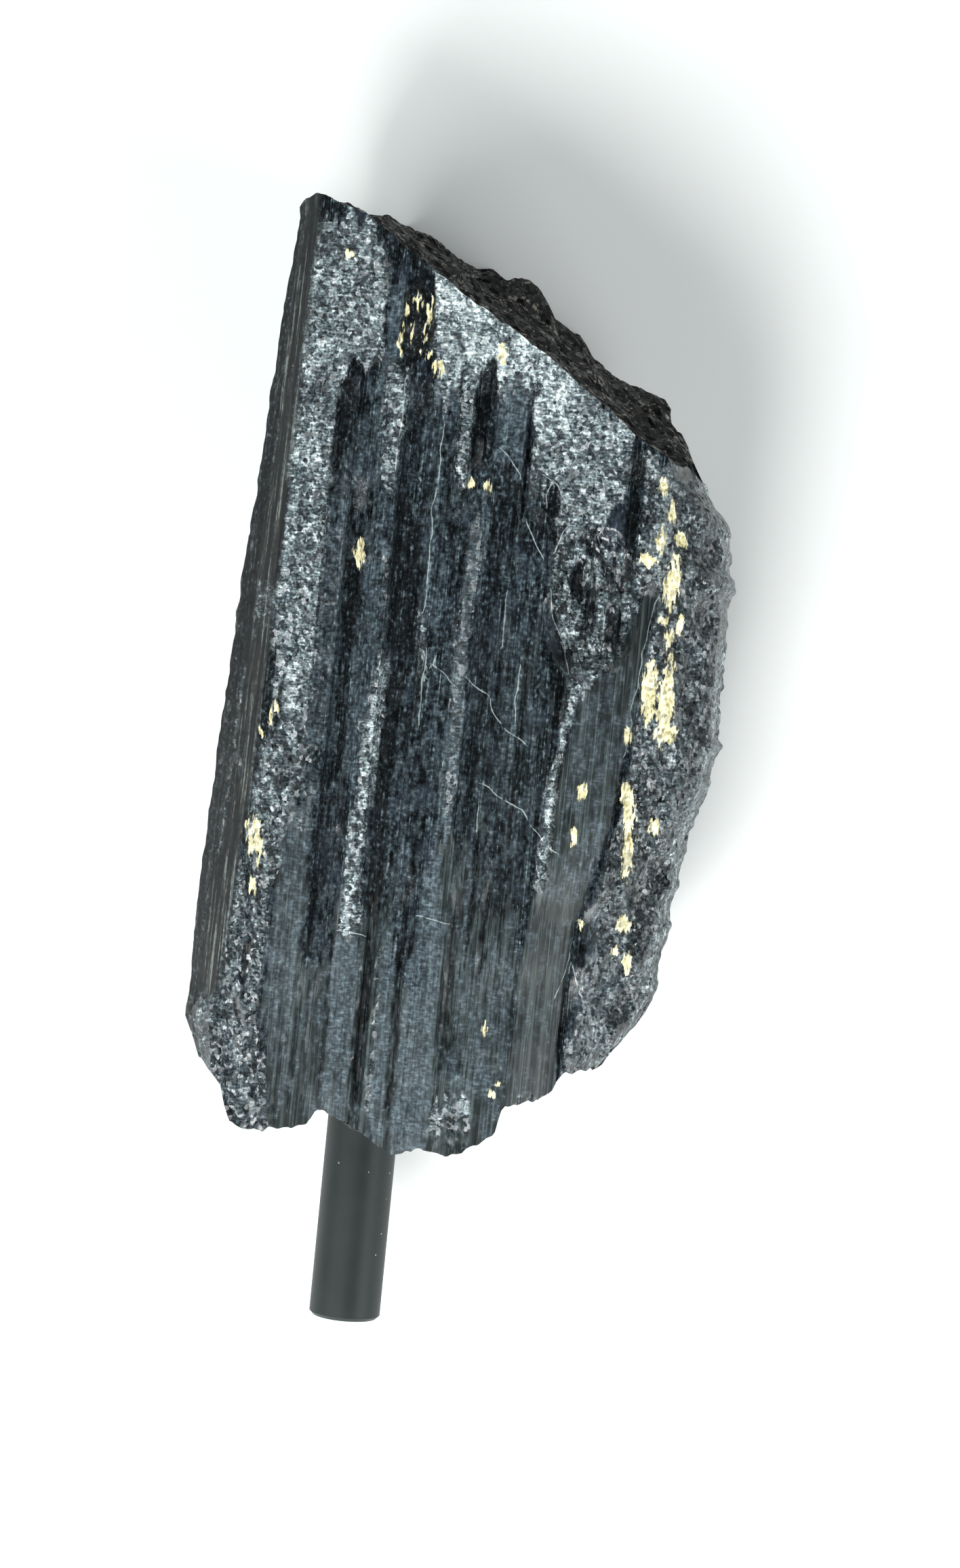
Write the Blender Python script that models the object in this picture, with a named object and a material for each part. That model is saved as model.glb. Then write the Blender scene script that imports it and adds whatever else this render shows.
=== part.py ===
"""A black tourmaline crystal on its display rod, laid down on its back.

Blender 4.5, metres, +Z up. Y runs along the crystal's long axis, which is the rod's axis too, from the rod's
free end towards the crystal's tip. X runs across the crystal and Z up from the face that it rests on. The
shape is worked out in millimetres, with x counted from the rod's axis and y from a little above its free end,
and the finished pieces are then moved so that the origin is under the middle of the whole object.
"""

import math

import bmesh
import bpy
import numpy as np
from mathutils import Vector
from mathutils.geometry import delaunay_2d_cdt

MM = 0.001

# The rod is 8 mm bar, sunk into a hole drilled up the crystal and glued there.
ROD_RADIUS = 4.0
ROD_X = -0.4
ROD_Z = 17.5
ROD_FREE_END = -3.0
ROD_INNER_END = 40.0
ROD_CHAMFER = 0.4
ROD_SIDES = 40
GLUE_GAP = 0.3

# Edges of the crystal as (y, x). The brows are its widest lines, and the crease is where the narrow left
# bevel meets the broad front face.
LEFT_BROW = [
    (24, -17.4), (26, -19.2), (28, -19.9), (30, -20.5), (40, -20.4), (50, -20.2), (60, -19.8),
    (70, -19.4), (80, -18.9), (90, -18.3), (100, -17.9), (110, -17.2), (118, -16.6),
]
LEFT_CREASE = [
    (24, -16.6), (30, -17.5), (40, -17.0), (50, -16.1), (55, -15.7), (70, -15.2), (90, -14.8), (110, -14.3),
]
RIGHT_BROW = [
    (28, 25.7), (30, 27.0), (33, 28.8), (35, 30.0), (38, 30.8), (45, 31.4), (53, 32.2), (57, 33.2), (60, 34.2),
    (65, 35.1), (70, 34.5), (73, 34.9), (75, 34.3), (80, 34.7), (82, 35.1), (86, 34.5), (89, 33.9), (91, 32.3),
    (92.5, 31.2), (96, 30.2), (101, 27.5),
]

# Ends of the front face as (x, y): the slanting break at the tip and the stepped ends of the columns below.
TIP_EDGE = [
    (-17.2, 117.6), (-16.2, 119.0), (-14.8, 119.9), (-13.8, 119.7), (-8.2, 117.6), (-5.0, 115.1), (-1.7, 113.0),
    (2.5, 110.1), (8.1, 106.9), (12.7, 104.1), (15.0, 102.3), (18.8, 99.7), (22.5, 96.7), (26.7, 94.4),
    (29.0, 93.0), (31.0, 91.6), (34.0, 88.0),
]
FOOT_EDGE = [
    (-20.0, 30.0), (-18.6, 25.6), (-15.9, 24.2), (-15.2, 21.6), (-14.3, 19.6), (-12.2, 18.9), (-7.3, 19.7),
    (-5.8, 20.5), (-5.2, 21.8), (-3.8, 21.7), (0.0, 19.7), (3.5, 17.8), (6.3, 18.8), (9.9, 18.3), (12.0, 19.6),
    (14.2, 21.0), (14.8, 24.3), (18.5, 25.1), (20.0, 26.3), (20.9, 28.3), (22.5, 28.3), (25.1, 29.0),
    (27.2, 31.6), (29.7, 35.5), (31.0, 39.5),
]
# How much further up each millimetre of depth behind the front takes the break at the tip, as (x, rise).
TIP_RISE = [
    (-16, 0.17), (-10, 0.18), (-5, 0.25), (0, 0.28), (9, 0.33), (15, 0.32), (20, 0.30), (26, 0.37),
    (28.5, 0.37), (30, 0.22),
]
# Lumps on the break at the tip: x, z, radius, height.
TIP_LUMPS = [
    (4.3, 10.0, 2.2, 1.2), (9.3, 10.0, 3.6, 2.8), (14.6, 8.0, 2.6, 1.0), (22.5, 9.0, 5.0, 1.3),
    (-4.0, 8.0, 2.6, 0.7), (1.0, 22.0, 3.5, 0.9), (10.5, 24.0, 3.0, -0.9), (17.0, 19.0, 3.0, 0.9),
    (-9.0, 16.0, 3.0, -0.7),
]
# Bundles of columns behind the front that end higher up: low and high x, low and high z, how much higher.
SHORT_BUNDLES = [
    (-5.2, 5.0, 10.0, 28.0, 3.0), (-30.0, -5.2, 6.0, 21.0, 2.2), (5.0, 13.0, -5.0, 22.0, 1.6),
    (13.0, 40.0, -5.0, 19.0, 3.2), (-12.0, 0.0, -5.0, 8.0, -1.8),
]

# Heights above the resting face, in order round the section.
CREASE_Z = 33.0
LEFT_BROW_Z = 29.5
RIGHT_BROW_Z = 25.0
SHOULDER_Z = 29.5
SHOULDER_RUN = 1.5
# The front face from left to right as (x, z), from the crease to the ridge beside the smooth slope.
FRONT_PROFILE = [(-16.0, 33.0), (-10.0, 33.7), (0.0, 34.3), (8.0, 34.6), (17.0, 34.5)]
# The smooth slope right of the middle, as (y, x): the ridge at its head and the line at its foot. Past its
# foot the rough flank starts this step under the ridge.
SLOPE_RIDGE = [(24, 14.8), (38, 14.8), (45, 15.5), (50, 16.8), (70, 17.3), (76, 16.0), (90, 16.0)]
SLOPE_FOOT = [(24, 20.2), (36, 20.2), (44, 20.6), (50, 22.5), (58, 24.2), (72, 24.9), (79, 25.8), (90, 25.8)]
SLOPE_DROP = 1.7
SLOPE_TOP_Y = 80.0
FLANK_STEP = 0.9

# Bands of the front face that run up it: left, right, low, high, height over the face. Ribs stand proud, and
# troughs are sunk.
BANDS = [
    (-10.3, -7.9, 63.0, 101.0, -0.5),
    (-7.9, -5.8, 38.0, 90.0, -1.1),
    (-5.8, -5.0, 41.3, 102.5, -0.3),
    (-5.0, -2.6, 41.3, 102.5, 0.6),
    (-2.6, 1.1, 42.0, 101.0, -0.8),
    (-1.6, -0.3, 21.0, 41.0, -1.1),
    (3.0, 4.7, 86.0, 107.0, 0.5),
    (4.7, 6.2, 91.5, 104.0, -1.1),
    (5.0, 6.9, 50.0, 91.0, 0.5),
    (6.9, 10.4, 27.0, 101.0, -0.5),
    (22.0, 23.4, 82.0, 95.5, -0.8),
]
BAND_WALL = 0.3
BAND_FADE = 4.0
# The broken hollow in the front face.
HOLLOW_X, HOLLOW_Y, HOLLOW_HALF_WIDTH, HOLLOW_HALF_LENGTH, HOLLOW_DEPTH = 19.2, 78.5, 5.0, 8.5, 2.2
HOLLOW_CHIP_WIDTH, HOLLOW_CHIP_LENGTH = 1.7, 4.5

# The plates of the sides and the back: how wide each is, how far it may be sunk, how long it runs before it
# steps, and how far its edges stay from its neighbour's.
PLATE_WIDTH = 3.3
PLATE_STEP = 1.2
PLATE_LENGTH = 38.0
PLATE_EDGE = 0.3

ROWS = 35
END_SPACING = 2.2
CENTRE = (6.0, 16.0)


def at(table, value):
    """The second column of a table at a value of its first, on straight lines between its points."""
    first, second = np.array(table, float).T
    return np.interp(value, first, second)


def chance(i, j, seed):
    """A repeatable number from -1 to 1 for a pair of whole numbers."""
    wave = np.sin(i * 127.1 + j * 311.7 + seed * 74.7) * 43758.5453
    return 2.0 * (wave - np.floor(wave)) - 1.0


def lumps(x, y, size, seed):
    """Smooth irregular lumps of about that size, from -1 to 1, over two coordinates."""
    u, v = x / size, y / size
    i, j = np.floor(u), np.floor(v)
    f, g = u - i, v - j
    f, g = f * f * (3 - 2 * f), g * g * (3 - 2 * g)
    low = chance(i, j, seed) * (1 - f) + chance(i + 1, j, seed) * f
    high = chance(i, j + 1, seed) * (1 - f) + chance(i + 1, j + 1, seed) * f
    return low * (1 - g) + high * g


def ramp(value, start, length):
    """0 before the start, 1 after the length, straight between."""
    return np.clip((value - start) / length, 0.0, 1.0)


def band_height(x, y):
    """How far the ribs and troughs of the front stand over the face."""
    height = np.zeros_like(x)
    for left, right, low, high, over in BANDS:
        across = ramp(x, left, BAND_WALL) * ramp(-x, -right, BAND_WALL)
        height += over * across * ramp(y, low, BAND_FADE) * ramp(-y, -high, BAND_FADE)
    return height


def front_z(x, y, shoulder):
    """Height of the front face, from the crease on the left to the shoulder on the right."""
    ridge, foot = at(SLOPE_RIDGE, y), at(SLOPE_FOOT, y)
    ridge_z = at(FRONT_PROFILE, ridge)
    slope = ramp(x, ridge, foot - ridge) * SLOPE_DROP * ramp(-y, -SLOPE_TOP_Y - 4.0, 4.0)
    # Past the foot of the smooth slope the rough flank stands proud again, and falls to the shoulder.
    flank_run = np.maximum(shoulder - foot, 1.0)
    flank_top = ridge_z - FLANK_STEP
    flank = flank_top - (flank_top - SHOULDER_Z) * ramp(x, foot, flank_run) ** 1.5
    z = np.where(x > foot + BAND_WALL, flank, np.where(x > ridge, ridge_z - slope, at(FRONT_PROFILE, x)))
    chips = lumps(x, y * 0.5, 1.9, 3) + 0.5 * lumps(x, y, 4.5, 13)
    flank_lumps = chips * 0.75 * ramp(x, foot + BAND_WALL, 1.5)
    hollow = 1 - ((x - HOLLOW_X) / HOLLOW_HALF_WIDTH) ** 2 - ((y - HOLLOW_Y) / HOLLOW_HALF_LENGTH) ** 2
    chip = chance(np.floor(x / HOLLOW_CHIP_WIDTH), np.floor(y / HOLLOW_CHIP_LENGTH + 0.37 * x), 5)
    broken = np.clip((hollow + 0.25 * lumps(x, y, 2.5, 12)) * 2.5, 0, 1) * HOLLOW_DEPTH * (0.8 + 0.45 * chip)
    return z + band_height(x, y) + flank_lumps + 0.12 * lumps(x, y, 5.0, 4) - broken


# Numbers of the corners that walls() gives.
RIGHT_BROW_CORNER, RESTING_CORNER, LEFT_BROW_CORNER = 1, 4, 8


def walls(y):
    """Corners of the section, as (x, z), from the front's right end round under the crystal to its left end."""
    left, right, crease = at(LEFT_BROW, y), at(RIGHT_BROW, y), at(LEFT_CREASE, y)
    return [
        (right - SHOULDER_RUN, SHOULDER_Z),
        (right, RIGHT_BROW_Z),
        (right + 0.4, 16.0),
        (right - 1.2, 8.0),
        (right - 10.0, 0.0),
        (left + 10.0, 0.0),
        (left + 1.8, 9.5),
        (left - 0.4, 19.0),
        (left, LEFT_BROW_Z),
        (crease, CREASE_Z),
    ]


def wall_columns():
    """Columns on the sides and back: each one's place, as a corner's number plus a share of the way to the
    next, and the number of its plate. A plate has a column on each of its edges."""
    corners = np.array(walls(60.0))
    lengths = np.linalg.norm(np.diff(corners, axis=0), axis=1)
    places, plates = [], []
    for i, length in enumerate(lengths):
        count = max(1, round(length / PLATE_WIDTH))
        for plate in range(count):
            places += [i + plate / count + PLATE_EDGE / length, i + (plate + 1) / count - PLATE_EDGE / length]
            plates += [10 * i + plate] * 2
    places[0], places[-1] = 0.0, float(len(lengths))
    return np.array(places), np.array(plates)


def front_columns():
    """Places of the columns on the front, as x: one on each side of every band's walls, and fill between."""
    borders = [[left, left + BAND_WALL, right - BAND_WALL, right] for left, right, *_ in BANDS]
    fill = [-14.6, -13.0, 12.5, 14.5, 15.8, 17.5, 18.6, 20.0, 21.2, 24.2, 25.5, 27.0, 28.6, 30.2, 31.8]
    wanted = sorted(sum(borders, fill))
    kept = [wanted[0]]
    for x in wanted[1:]:
        if x - kept[-1] > 0.29:
            kept.append(x)
    return np.array(kept)


def front_x(nominal, y):
    """x of a front column. Columns near the sides follow them, and the rest run straight up the crystal."""
    crease, shoulder = at(LEFT_CREASE, y), at(RIGHT_BROW, y) - SHOULDER_RUN
    left_share = (-11.0 - nominal) / (-11.0 + 15.7)
    right_share = (nominal - 22.0) / (33.0 - 22.0)
    x = np.where(nominal < -11.0, -11.0 + (crease + 11.0) * left_share, nominal)
    return np.where(nominal > 22.0, 22.0 + (shoulder - 22.0) * right_share, x)


def plate_relief(plate, y):
    """How far each plate of the sides and back is sunk. Along its length it steps from one depth to another."""
    piece = np.floor((y + 40.0 * chance(plate, 0, 8)) / PLATE_LENGTH)
    return PLATE_STEP * (chance(plate, piece, 9) * 0.5 - 0.5)


def wall_point(place, plate, y):
    """(x, z) on the sides and back, with each plate sunk by its relief and nothing under the resting face."""
    corners = walls(y)
    xs, zs = np.array([c[0] for c in corners]), np.array([c[1] for c in corners])
    i = np.minimum(place.astype(int), len(corners) - 2)
    share, rows = place - i, np.arange(len(place))
    x = xs[i, rows] * (1 - share) + xs[i + 1, rows] * share
    z = zs[i] * (1 - share) + zs[i + 1] * share
    brows = ramp(place, RIGHT_BROW_CORNER, 0.12) * ramp(-place, -LEFT_BROW_CORNER, 0.12)
    resting = (place >= RESTING_CORNER) & (place <= RESTING_CORNER + 1)
    out = np.stack([x - CENTRE[0], z - CENTRE[1]])
    out /= np.linalg.norm(out, axis=0)
    relief = np.where(resting, 0.0, plate_relief(plate, y) * brows)
    return x + out[0] * relief, np.maximum(z + out[1] * relief, 0.0)


def tip_y(x, z):
    """The broken surface at the tip, over a point of the section."""
    y = at(TIP_EDGE, x) + at(TIP_RISE, x) * np.maximum(CREASE_Z - z, 0.0)
    for lump_x, lump_z, radius, height in TIP_LUMPS:
        away = ((x - lump_x) ** 2 + (z - lump_z) ** 2) / radius**2
        y += height * np.clip(1 - away, 0, 1) ** 0.7
    inside = ramp(-z, -CREASE_Z + 1.0, 3.0)
    return y + 0.5 * lumps(x, z, 2.6, 6) * inside


def foot_y(x, z):
    """The stepped surface at the foot, where each bundle of columns ends on its own level."""
    y = at(FOOT_EDGE, x) + 0.04 * np.maximum(CREASE_Z - z, 0.0)
    for left, right, low, high, higher in SHORT_BUNDLES:
        y += higher * ramp(x, left, 0.8) * ramp(-x, -right, 0.8) * ramp(z, low, 0.8) * ramp(-z, -high, 0.8)
    inside = ramp(-z, -CREASE_Z + 1.0, 3.0)
    return y + 0.5 * lumps(x, z, 2.4, 7) * inside


def column_points(share):
    """(x, y, z) of every column at a share of its own length, from its foot to its tip."""
    fronts = front_columns()
    places, plates = wall_columns()

    def section(y):
        front_part, wall_part = y[: len(fronts)], y[len(fronts) :]
        x_front = front_x(fronts, front_part)
        z_front = front_z(x_front, front_part, at(RIGHT_BROW, front_part) - SHOULDER_RUN)
        x_wall, z_wall = wall_point(places, plates, wall_part)
        return np.concatenate([x_front, x_wall]), np.concatenate([z_front, z_wall])

    foot, tip = np.full(len(fronts) + len(places), 25.0), np.full(len(fronts) + len(places), 105.0)
    for _ in range(12):
        foot = 0.5 * foot + 0.5 * foot_y(*section(foot))
        tip = 0.5 * tip + 0.5 * tip_y(*section(tip))
    y = foot + (tip - foot) * share
    x, z = section(y)
    return np.stack([x, y, z], axis=1)


def inside(polygon, points):
    """Whether each point is inside a closed outline."""
    x, z = points[:, :1], points[:, 1:]
    x0, z0 = polygon.T
    x1, z1 = np.roll(polygon, -1, axis=0).T
    with np.errstate(divide="ignore", invalid="ignore"):
        crossed = ((z0 > z) != (z1 > z)) & (x < (x1 - x0) * (z - z0) / (z1 - z0) + x0)
    return crossed.sum(axis=1) % 2 == 1


def scattered(rim, spacing, seed):
    """Points about that far apart over the inside of a rim, none of them close to it."""
    low, high = rim.min(axis=0), rim.max(axis=0)
    i, j = np.meshgrid(*[np.arange(int(r) + 1) for r in (high - low) / spacing], indexing="ij")
    i, j = i.ravel(), j.ravel()
    x = low[0] + (i + 0.5 * (j % 2) + 0.25 * chance(i, j, seed)) * spacing
    z = low[1] + (j + 0.25 * chance(i, j, seed + 1)) * spacing
    points = np.stack([x, z], axis=1)
    points = points[inside(rim, points)]
    away = np.linalg.norm(points[:, None] - rim[None], axis=2).min(axis=1)
    return points[away > 0.6 * spacing]


def close_end(bm, rim, surface, seed, hole=()):
    """Fills an end of the crystal with its broken surface, from its rim in to the mouth of its hole."""
    borders = [np.array([(v.co.x, v.co.z) for v in border]) / MM for border in (rim, hole) if len(border)]
    points = scattered(borders[0], END_SPACING, seed)
    if len(hole):
        away = np.linalg.norm(points - [ROD_X, ROD_Z], axis=1)
        points = points[away > ROD_RADIUS + GLUE_GAP + 0.5 * END_SPACING]
    surfaced = np.stack([points[:, 0], surface(*points.T), points[:, 1]], axis=1)
    fill = [bm.verts.new(point * MM) for point in surfaced]
    verts = list(rim) + list(hole) + fill
    edges = [(i, (i + 1) % len(rim)) for i in range(len(rim))]
    edges += [(len(rim) + i, len(rim) + (i + 1) % len(hole)) for i in range(len(hole))]
    flat = [Vector(point) for point in np.concatenate(borders + [points])]
    _, _, triangles, sources, _, _ = delaunay_2d_cdt(flat, edges, [], 1, 1e-5)
    for triangle in triangles:
        corners = [sources[i][0] for i in triangle]
        middle = sum((flat[i] for i in corners), Vector((0, 0))) / 3
        if not len(hole) or (middle - Vector((ROD_X, ROD_Z))).length > ROD_RADIUS + GLUE_GAP:
            bm.faces.new([verts[i] for i in corners])


def skin(bm, rings):
    """Faces between each ring of vertices and the next."""
    for lower, upper in zip(rings, rings[1:]):
        for i in range(len(lower)):
            bm.faces.new((lower[i - 1], lower[i], upper[i], upper[i - 1]))


def new_object(name, bm, material):
    """An object of that name from a bmesh, with its faces pointing out."""
    bmesh.ops.recalc_face_normals(bm, faces=bm.faces)
    mesh = bpy.data.meshes.new(name)
    bm.to_mesh(mesh)
    bm.free()
    mesh.materials.append(material)
    made = bpy.data.objects.new(name, mesh)
    bpy.context.scene.collection.objects.link(made)
    return made


def plain_material(name, colour, roughness, metallic):
    """A Principled material of one colour."""
    material = bpy.data.materials.new(name)
    material.use_nodes = True
    shader = material.node_tree.nodes["Principled BSDF"]
    shader.inputs["Base Color"].default_value = (*colour, 1.0)
    shader.inputs["Roughness"].default_value = roughness
    shader.inputs["Metallic"].default_value = metallic
    return material


def make_crystal():
    """The crystal as one closed solid: its striated sides, its broken ends and the hole for its rod."""
    bm = bmesh.new()
    sides = [[bm.verts.new(point * MM) for point in column_points(row / ROWS)] for row in range(ROWS + 1)]
    turns = np.arange(ROD_SIDES) * 2 * math.pi / ROD_SIDES
    x = ROD_X + (ROD_RADIUS + GLUE_GAP) * np.cos(turns)
    z = ROD_Z + (ROD_RADIUS + GLUE_GAP) * np.sin(turns)
    hole = [
        [bm.verts.new((a * MM, b * MM, c * MM)) for a, b, c in zip(x, y, z)]
        for y in (foot_y(x, z), np.full(ROD_SIDES, ROD_INNER_END + GLUE_GAP))
    ]
    skin(bm, sides)
    skin(bm, hole)
    bm.faces.new(hole[1])
    close_end(bm, sides[0], foot_y, 21, hole[0])
    close_end(bm, sides[-1], tip_y, 31)
    return new_object("crystal", bm, plain_material("black_tourmaline", (0.03, 0.035, 0.04), 0.4, 0.0))


def make_rod():
    """The painted steel rod, with a small chamfer round each end, lying along Y."""
    bm = bmesh.new()
    stations = [
        (ROD_FREE_END, ROD_RADIUS - ROD_CHAMFER), (ROD_FREE_END + ROD_CHAMFER, ROD_RADIUS),
        (ROD_INNER_END - ROD_CHAMFER, ROD_RADIUS), (ROD_INNER_END, ROD_RADIUS - ROD_CHAMFER),
    ]
    turns = [2 * math.pi * side / ROD_SIDES for side in range(ROD_SIDES)]
    rings = [
        [
            bm.verts.new(((ROD_X + radius * math.cos(t)) * MM, y * MM, (ROD_Z + radius * math.sin(t)) * MM))
            for t in turns
        ]
        for y, radius in stations
    ]
    skin(bm, rings)
    bm.faces.new(rings[0])
    bm.faces.new(rings[-1])
    rod = new_object("rod", bm, plain_material("black_paint", (0.03, 0.033, 0.033), 0.45, 0.0))
    rod.data.shade_smooth()
    rod.data.set_sharp_from_angle(angle=math.radians(30))
    return rod


def stand_over_origin(objects):
    """Moves the pieces so that the origin is under the middle of their common box, on the resting face."""
    points = np.array([tuple(v.co) for o in objects for v in o.data.vertices])
    low, high = points.min(axis=0), points.max(axis=0)
    for piece in objects:
        piece.location = (-(low[0] + high[0]) / 2, -(low[1] + high[1]) / 2, -low[2])


def main():
    for old in list(bpy.data.objects):
        bpy.data.objects.remove(old)
    stand_over_origin([make_crystal(), make_rod()])


main()
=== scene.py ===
"""The looks of the black tourmaline crystal and its display rod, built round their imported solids.

Shapes are worked out in millimetres in the frame that they were measured in: x across the crystal from the
rod's axis, y up it from a little above the rod's free end, z up from the resting face. FRAME_SHIFT carries
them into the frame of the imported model.
"""

import math
from functools import partial

import bpy
import numpy as np
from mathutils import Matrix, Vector
from mathutils.geometry import delaunay_2d_cdt


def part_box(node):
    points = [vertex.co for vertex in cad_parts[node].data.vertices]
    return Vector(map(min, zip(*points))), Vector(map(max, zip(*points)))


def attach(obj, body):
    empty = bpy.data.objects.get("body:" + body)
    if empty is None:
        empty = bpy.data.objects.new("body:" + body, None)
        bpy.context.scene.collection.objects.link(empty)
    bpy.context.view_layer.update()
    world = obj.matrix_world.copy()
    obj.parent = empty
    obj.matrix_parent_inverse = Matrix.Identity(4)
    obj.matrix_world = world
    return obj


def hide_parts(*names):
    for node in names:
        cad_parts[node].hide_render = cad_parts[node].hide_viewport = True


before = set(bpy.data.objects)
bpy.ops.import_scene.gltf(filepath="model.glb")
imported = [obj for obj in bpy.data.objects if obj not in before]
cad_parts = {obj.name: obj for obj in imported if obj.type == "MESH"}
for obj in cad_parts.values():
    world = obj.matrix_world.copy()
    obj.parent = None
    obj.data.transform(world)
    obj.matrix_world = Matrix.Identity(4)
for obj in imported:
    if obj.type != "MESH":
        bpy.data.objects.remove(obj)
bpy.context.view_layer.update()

MM = 0.001

# The rod, 8 mm bar.
ROD_RADIUS = 4.0
ROD_X = -0.4
ROD_Z = 17.5
ROD_FREE_END = -3.0
ROD_INNER_END = 40.0
ROD_CHAMFER = 0.4
ROD_SIDES = 96
GLUE_GAP = 0.3
HOLE_RADIUS = ROD_RADIUS + GLUE_GAP

ROD_LOW, ROD_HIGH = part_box("rod")
FRAME_SHIFT = (
    (ROD_LOW[0] + ROD_HIGH[0]) / 2 / MM - ROD_X,
    ROD_LOW[1] / MM - ROD_FREE_END,
    (ROD_LOW[2] + ROD_HIGH[2]) / 2 / MM - ROD_Z,
)

# Edges of the crystal as (y, x): its widest lines, and the crease between left bevel and front face.
LEFT_BROW = [
    (24, -17.4), (26, -19.2), (28, -19.9), (30, -20.5), (40, -20.4), (50, -20.2), (60, -19.8),
    (70, -19.4), (80, -18.9), (90, -18.3), (100, -17.9), (110, -17.2), (118, -16.6),
]
LEFT_CREASE = [
    (24, -16.6), (30, -17.5), (40, -17.0), (50, -16.1), (55, -15.7), (70, -15.2), (90, -14.8), (110, -14.3),
]
RIGHT_BROW = [
    (28, 25.7), (30, 27), (33, 28.8), (35, 30), (38, 30.8), (45, 31.4), (53, 32.2), (57, 33.2), (60, 34.2),
    (65, 35.1), (70, 34.5), (73, 34.9), (75, 34.3), (80, 34.7), (82, 35.1), (86, 34.5), (89, 33.9), (91, 32.3),
    (92.5, 31.2), (96, 30.2), (101, 27.5),
]

# Ends of the front face as (x, y): the slanting break at the tip and the stepped ends of the columns below.
TIP_EDGE = [
    (-17.2, 117.6), (-16.2, 119), (-14.8, 119.9), (-13.8, 119.7), (-8.2, 117.6), (-5, 115.1), (-1.7, 113),
    (2.5, 110.1), (8.1, 106.9), (12.7, 104.1), (15, 102.3), (18.8, 99.7), (22.5, 96.7), (26.7, 94.4), (29, 93),
    (31, 91.6), (34, 88),
]
FOOT_EDGE = [
    (-20, 30), (-18.6, 25.6), (-15.9, 24.2), (-15.2, 21.6), (-14.3, 19.6), (-12.2, 18.9), (-7.3, 19.7), (-5.8, 20.5),
    (-5.2, 21.8), (-3.8, 21.7), (0, 19.7), (3.5, 17.8), (6.3, 18.8), (9.9, 18.3), (12, 19.6), (14.2, 21),
    (14.8, 24.3), (18.5, 25.1), (20, 26.3), (20.9, 28.3), (22.5, 28.3), (25.1, 29), (27.2, 31.6), (29.7, 35.5),
    (31, 39.5),
]
# How much further up each millimetre of depth behind the front takes the break at the tip, as (x, rise).
TIP_RISE = [
    (-16, 0.17), (-10, 0.18), (-5, 0.25), (0, 0.28), (9, 0.33), (15, 0.32), (20, 0.3), (26, 0.37), (28.5, 0.37),
    (30, 0.22),
]
# Lumps on the break at the tip: x, z, radius, height.
TIP_LUMPS = [
    (4.3, 10, 2.2, 1.2), (9.3, 10, 3.6, 2.8), (14.6, 8, 2.6, 1), (22.5, 9, 5, 1.3), (-4, 8, 2.6, 0.7),
    (1, 22, 3.5, 0.9), (10.5, 24, 3, -0.9), (17, 19, 3, 0.9), (-9, 16, 3, -0.7),
]
# Bundles of columns behind the front that end higher up: low and high x, low and high z, how much higher.
SHORT_BUNDLES = [
    (-5.2, 5, 10, 28, 3), (-30, -5.2, 6, 21, 2.2), (5, 13, -5, 22, 1.6), (13, 40, -5, 19, 3.2),
    (-12, 0, -5, 8, -1.8),
]

# Heights above the resting face, in order round the section.
CREASE_Z = 33.0
LEFT_BROW_Z = 29.5
RIGHT_BROW_Z = 25.0
SHOULDER_Z = 29.5
SHOULDER_RUN = 1.5
# The front face from left to right as (x, z), from the crease to the ridge beside the smooth slope.
FRONT_PROFILE = [(-16.0, 33.0), (-10.0, 33.7), (0.0, 34.3), (8.0, 34.6), (17.0, 34.5)]
# The smooth slope right of the middle, as (y, x): the ridge at its head and the line at its foot.
SLOPE_RIDGE = [(24, 14.8), (38, 14.8), (45, 15.5), (50, 16.8), (70, 17.3), (76, 16.0), (90, 16.0)]
SLOPE_FOOT = [(24, 20.2), (36, 20.2), (44, 20.6), (50, 22.5), (58, 24.2), (72, 24.9), (79, 25.8), (90, 25.8)]
SLOPE_DROP = 1.7
SLOPE_TOP_Y = 80.0
SLOPE_FADE = 4.0

# Bands of the front face that run up it: left, right, low, high, height over the face. Ribs stand proud, and
# troughs are sunk. The first eleven are in the solid too, and the rest are too fine for it.
BANDS = [
    (-10.3, -7.9, 63, 101, -0.5), (-7.9, -5.8, 38, 90, -1.1), (-5.8, -5, 41.3, 102.5, -0.3),
    (-5, -2.6, 41.3, 102.5, 0.6), (-2.6, 1.1, 42, 101, -0.8), (-1.6, -0.3, 21, 46, -1.1), (3, 4.7, 86, 107, 0.5),
    (4.7, 6.2, 91.5, 104, -1.1), (5, 6.9, 50, 91, 0.5), (6.9, 10.4, 27, 101, -0.5), (22, 23.4, 82, 95.5, -0.8),
    (-14.9, -13.9, 34.5, 39, -0.5), (-13.6, -12.4, 30, 46, 0.2), (-8.4, -7.6, 22, 37, -0.4),
    (-6.9, -5.9, 21, 37, -0.3), (-4, -0.6, 103, 111.5, -0.6), (1.1, 2, 62, 73, -0.5), (2, 2.9, 22, 48, -0.4),
    (7.4, 8.4, 28, 48, -0.3), (9.2, 10, 40, 56, -0.3), (10.5, 11.3, 34, 50, -0.4), (12.3, 13.2, 48, 75, -0.3),
    (10.4, 11, 84, 101, -0.5), (24, 25, 84, 94, -0.4), (20, 20.7, 29, 37, -0.4), (15.7, 17.2, 49, 71, 0.3),
]
BAND_WALL = 0.3
BAND_FADE = 4.0
FLANK_STEP = 0.9
FLANK_CURVE = 1.5
FLANK_CHIP_HEIGHT = 0.75
SWELL_HEIGHT, SWELL_LENGTH = 0.12, 5.0
FRONT_GROOVE_DEPTH = 0.045
GRAIN_HEIGHT = 0.08
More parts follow.
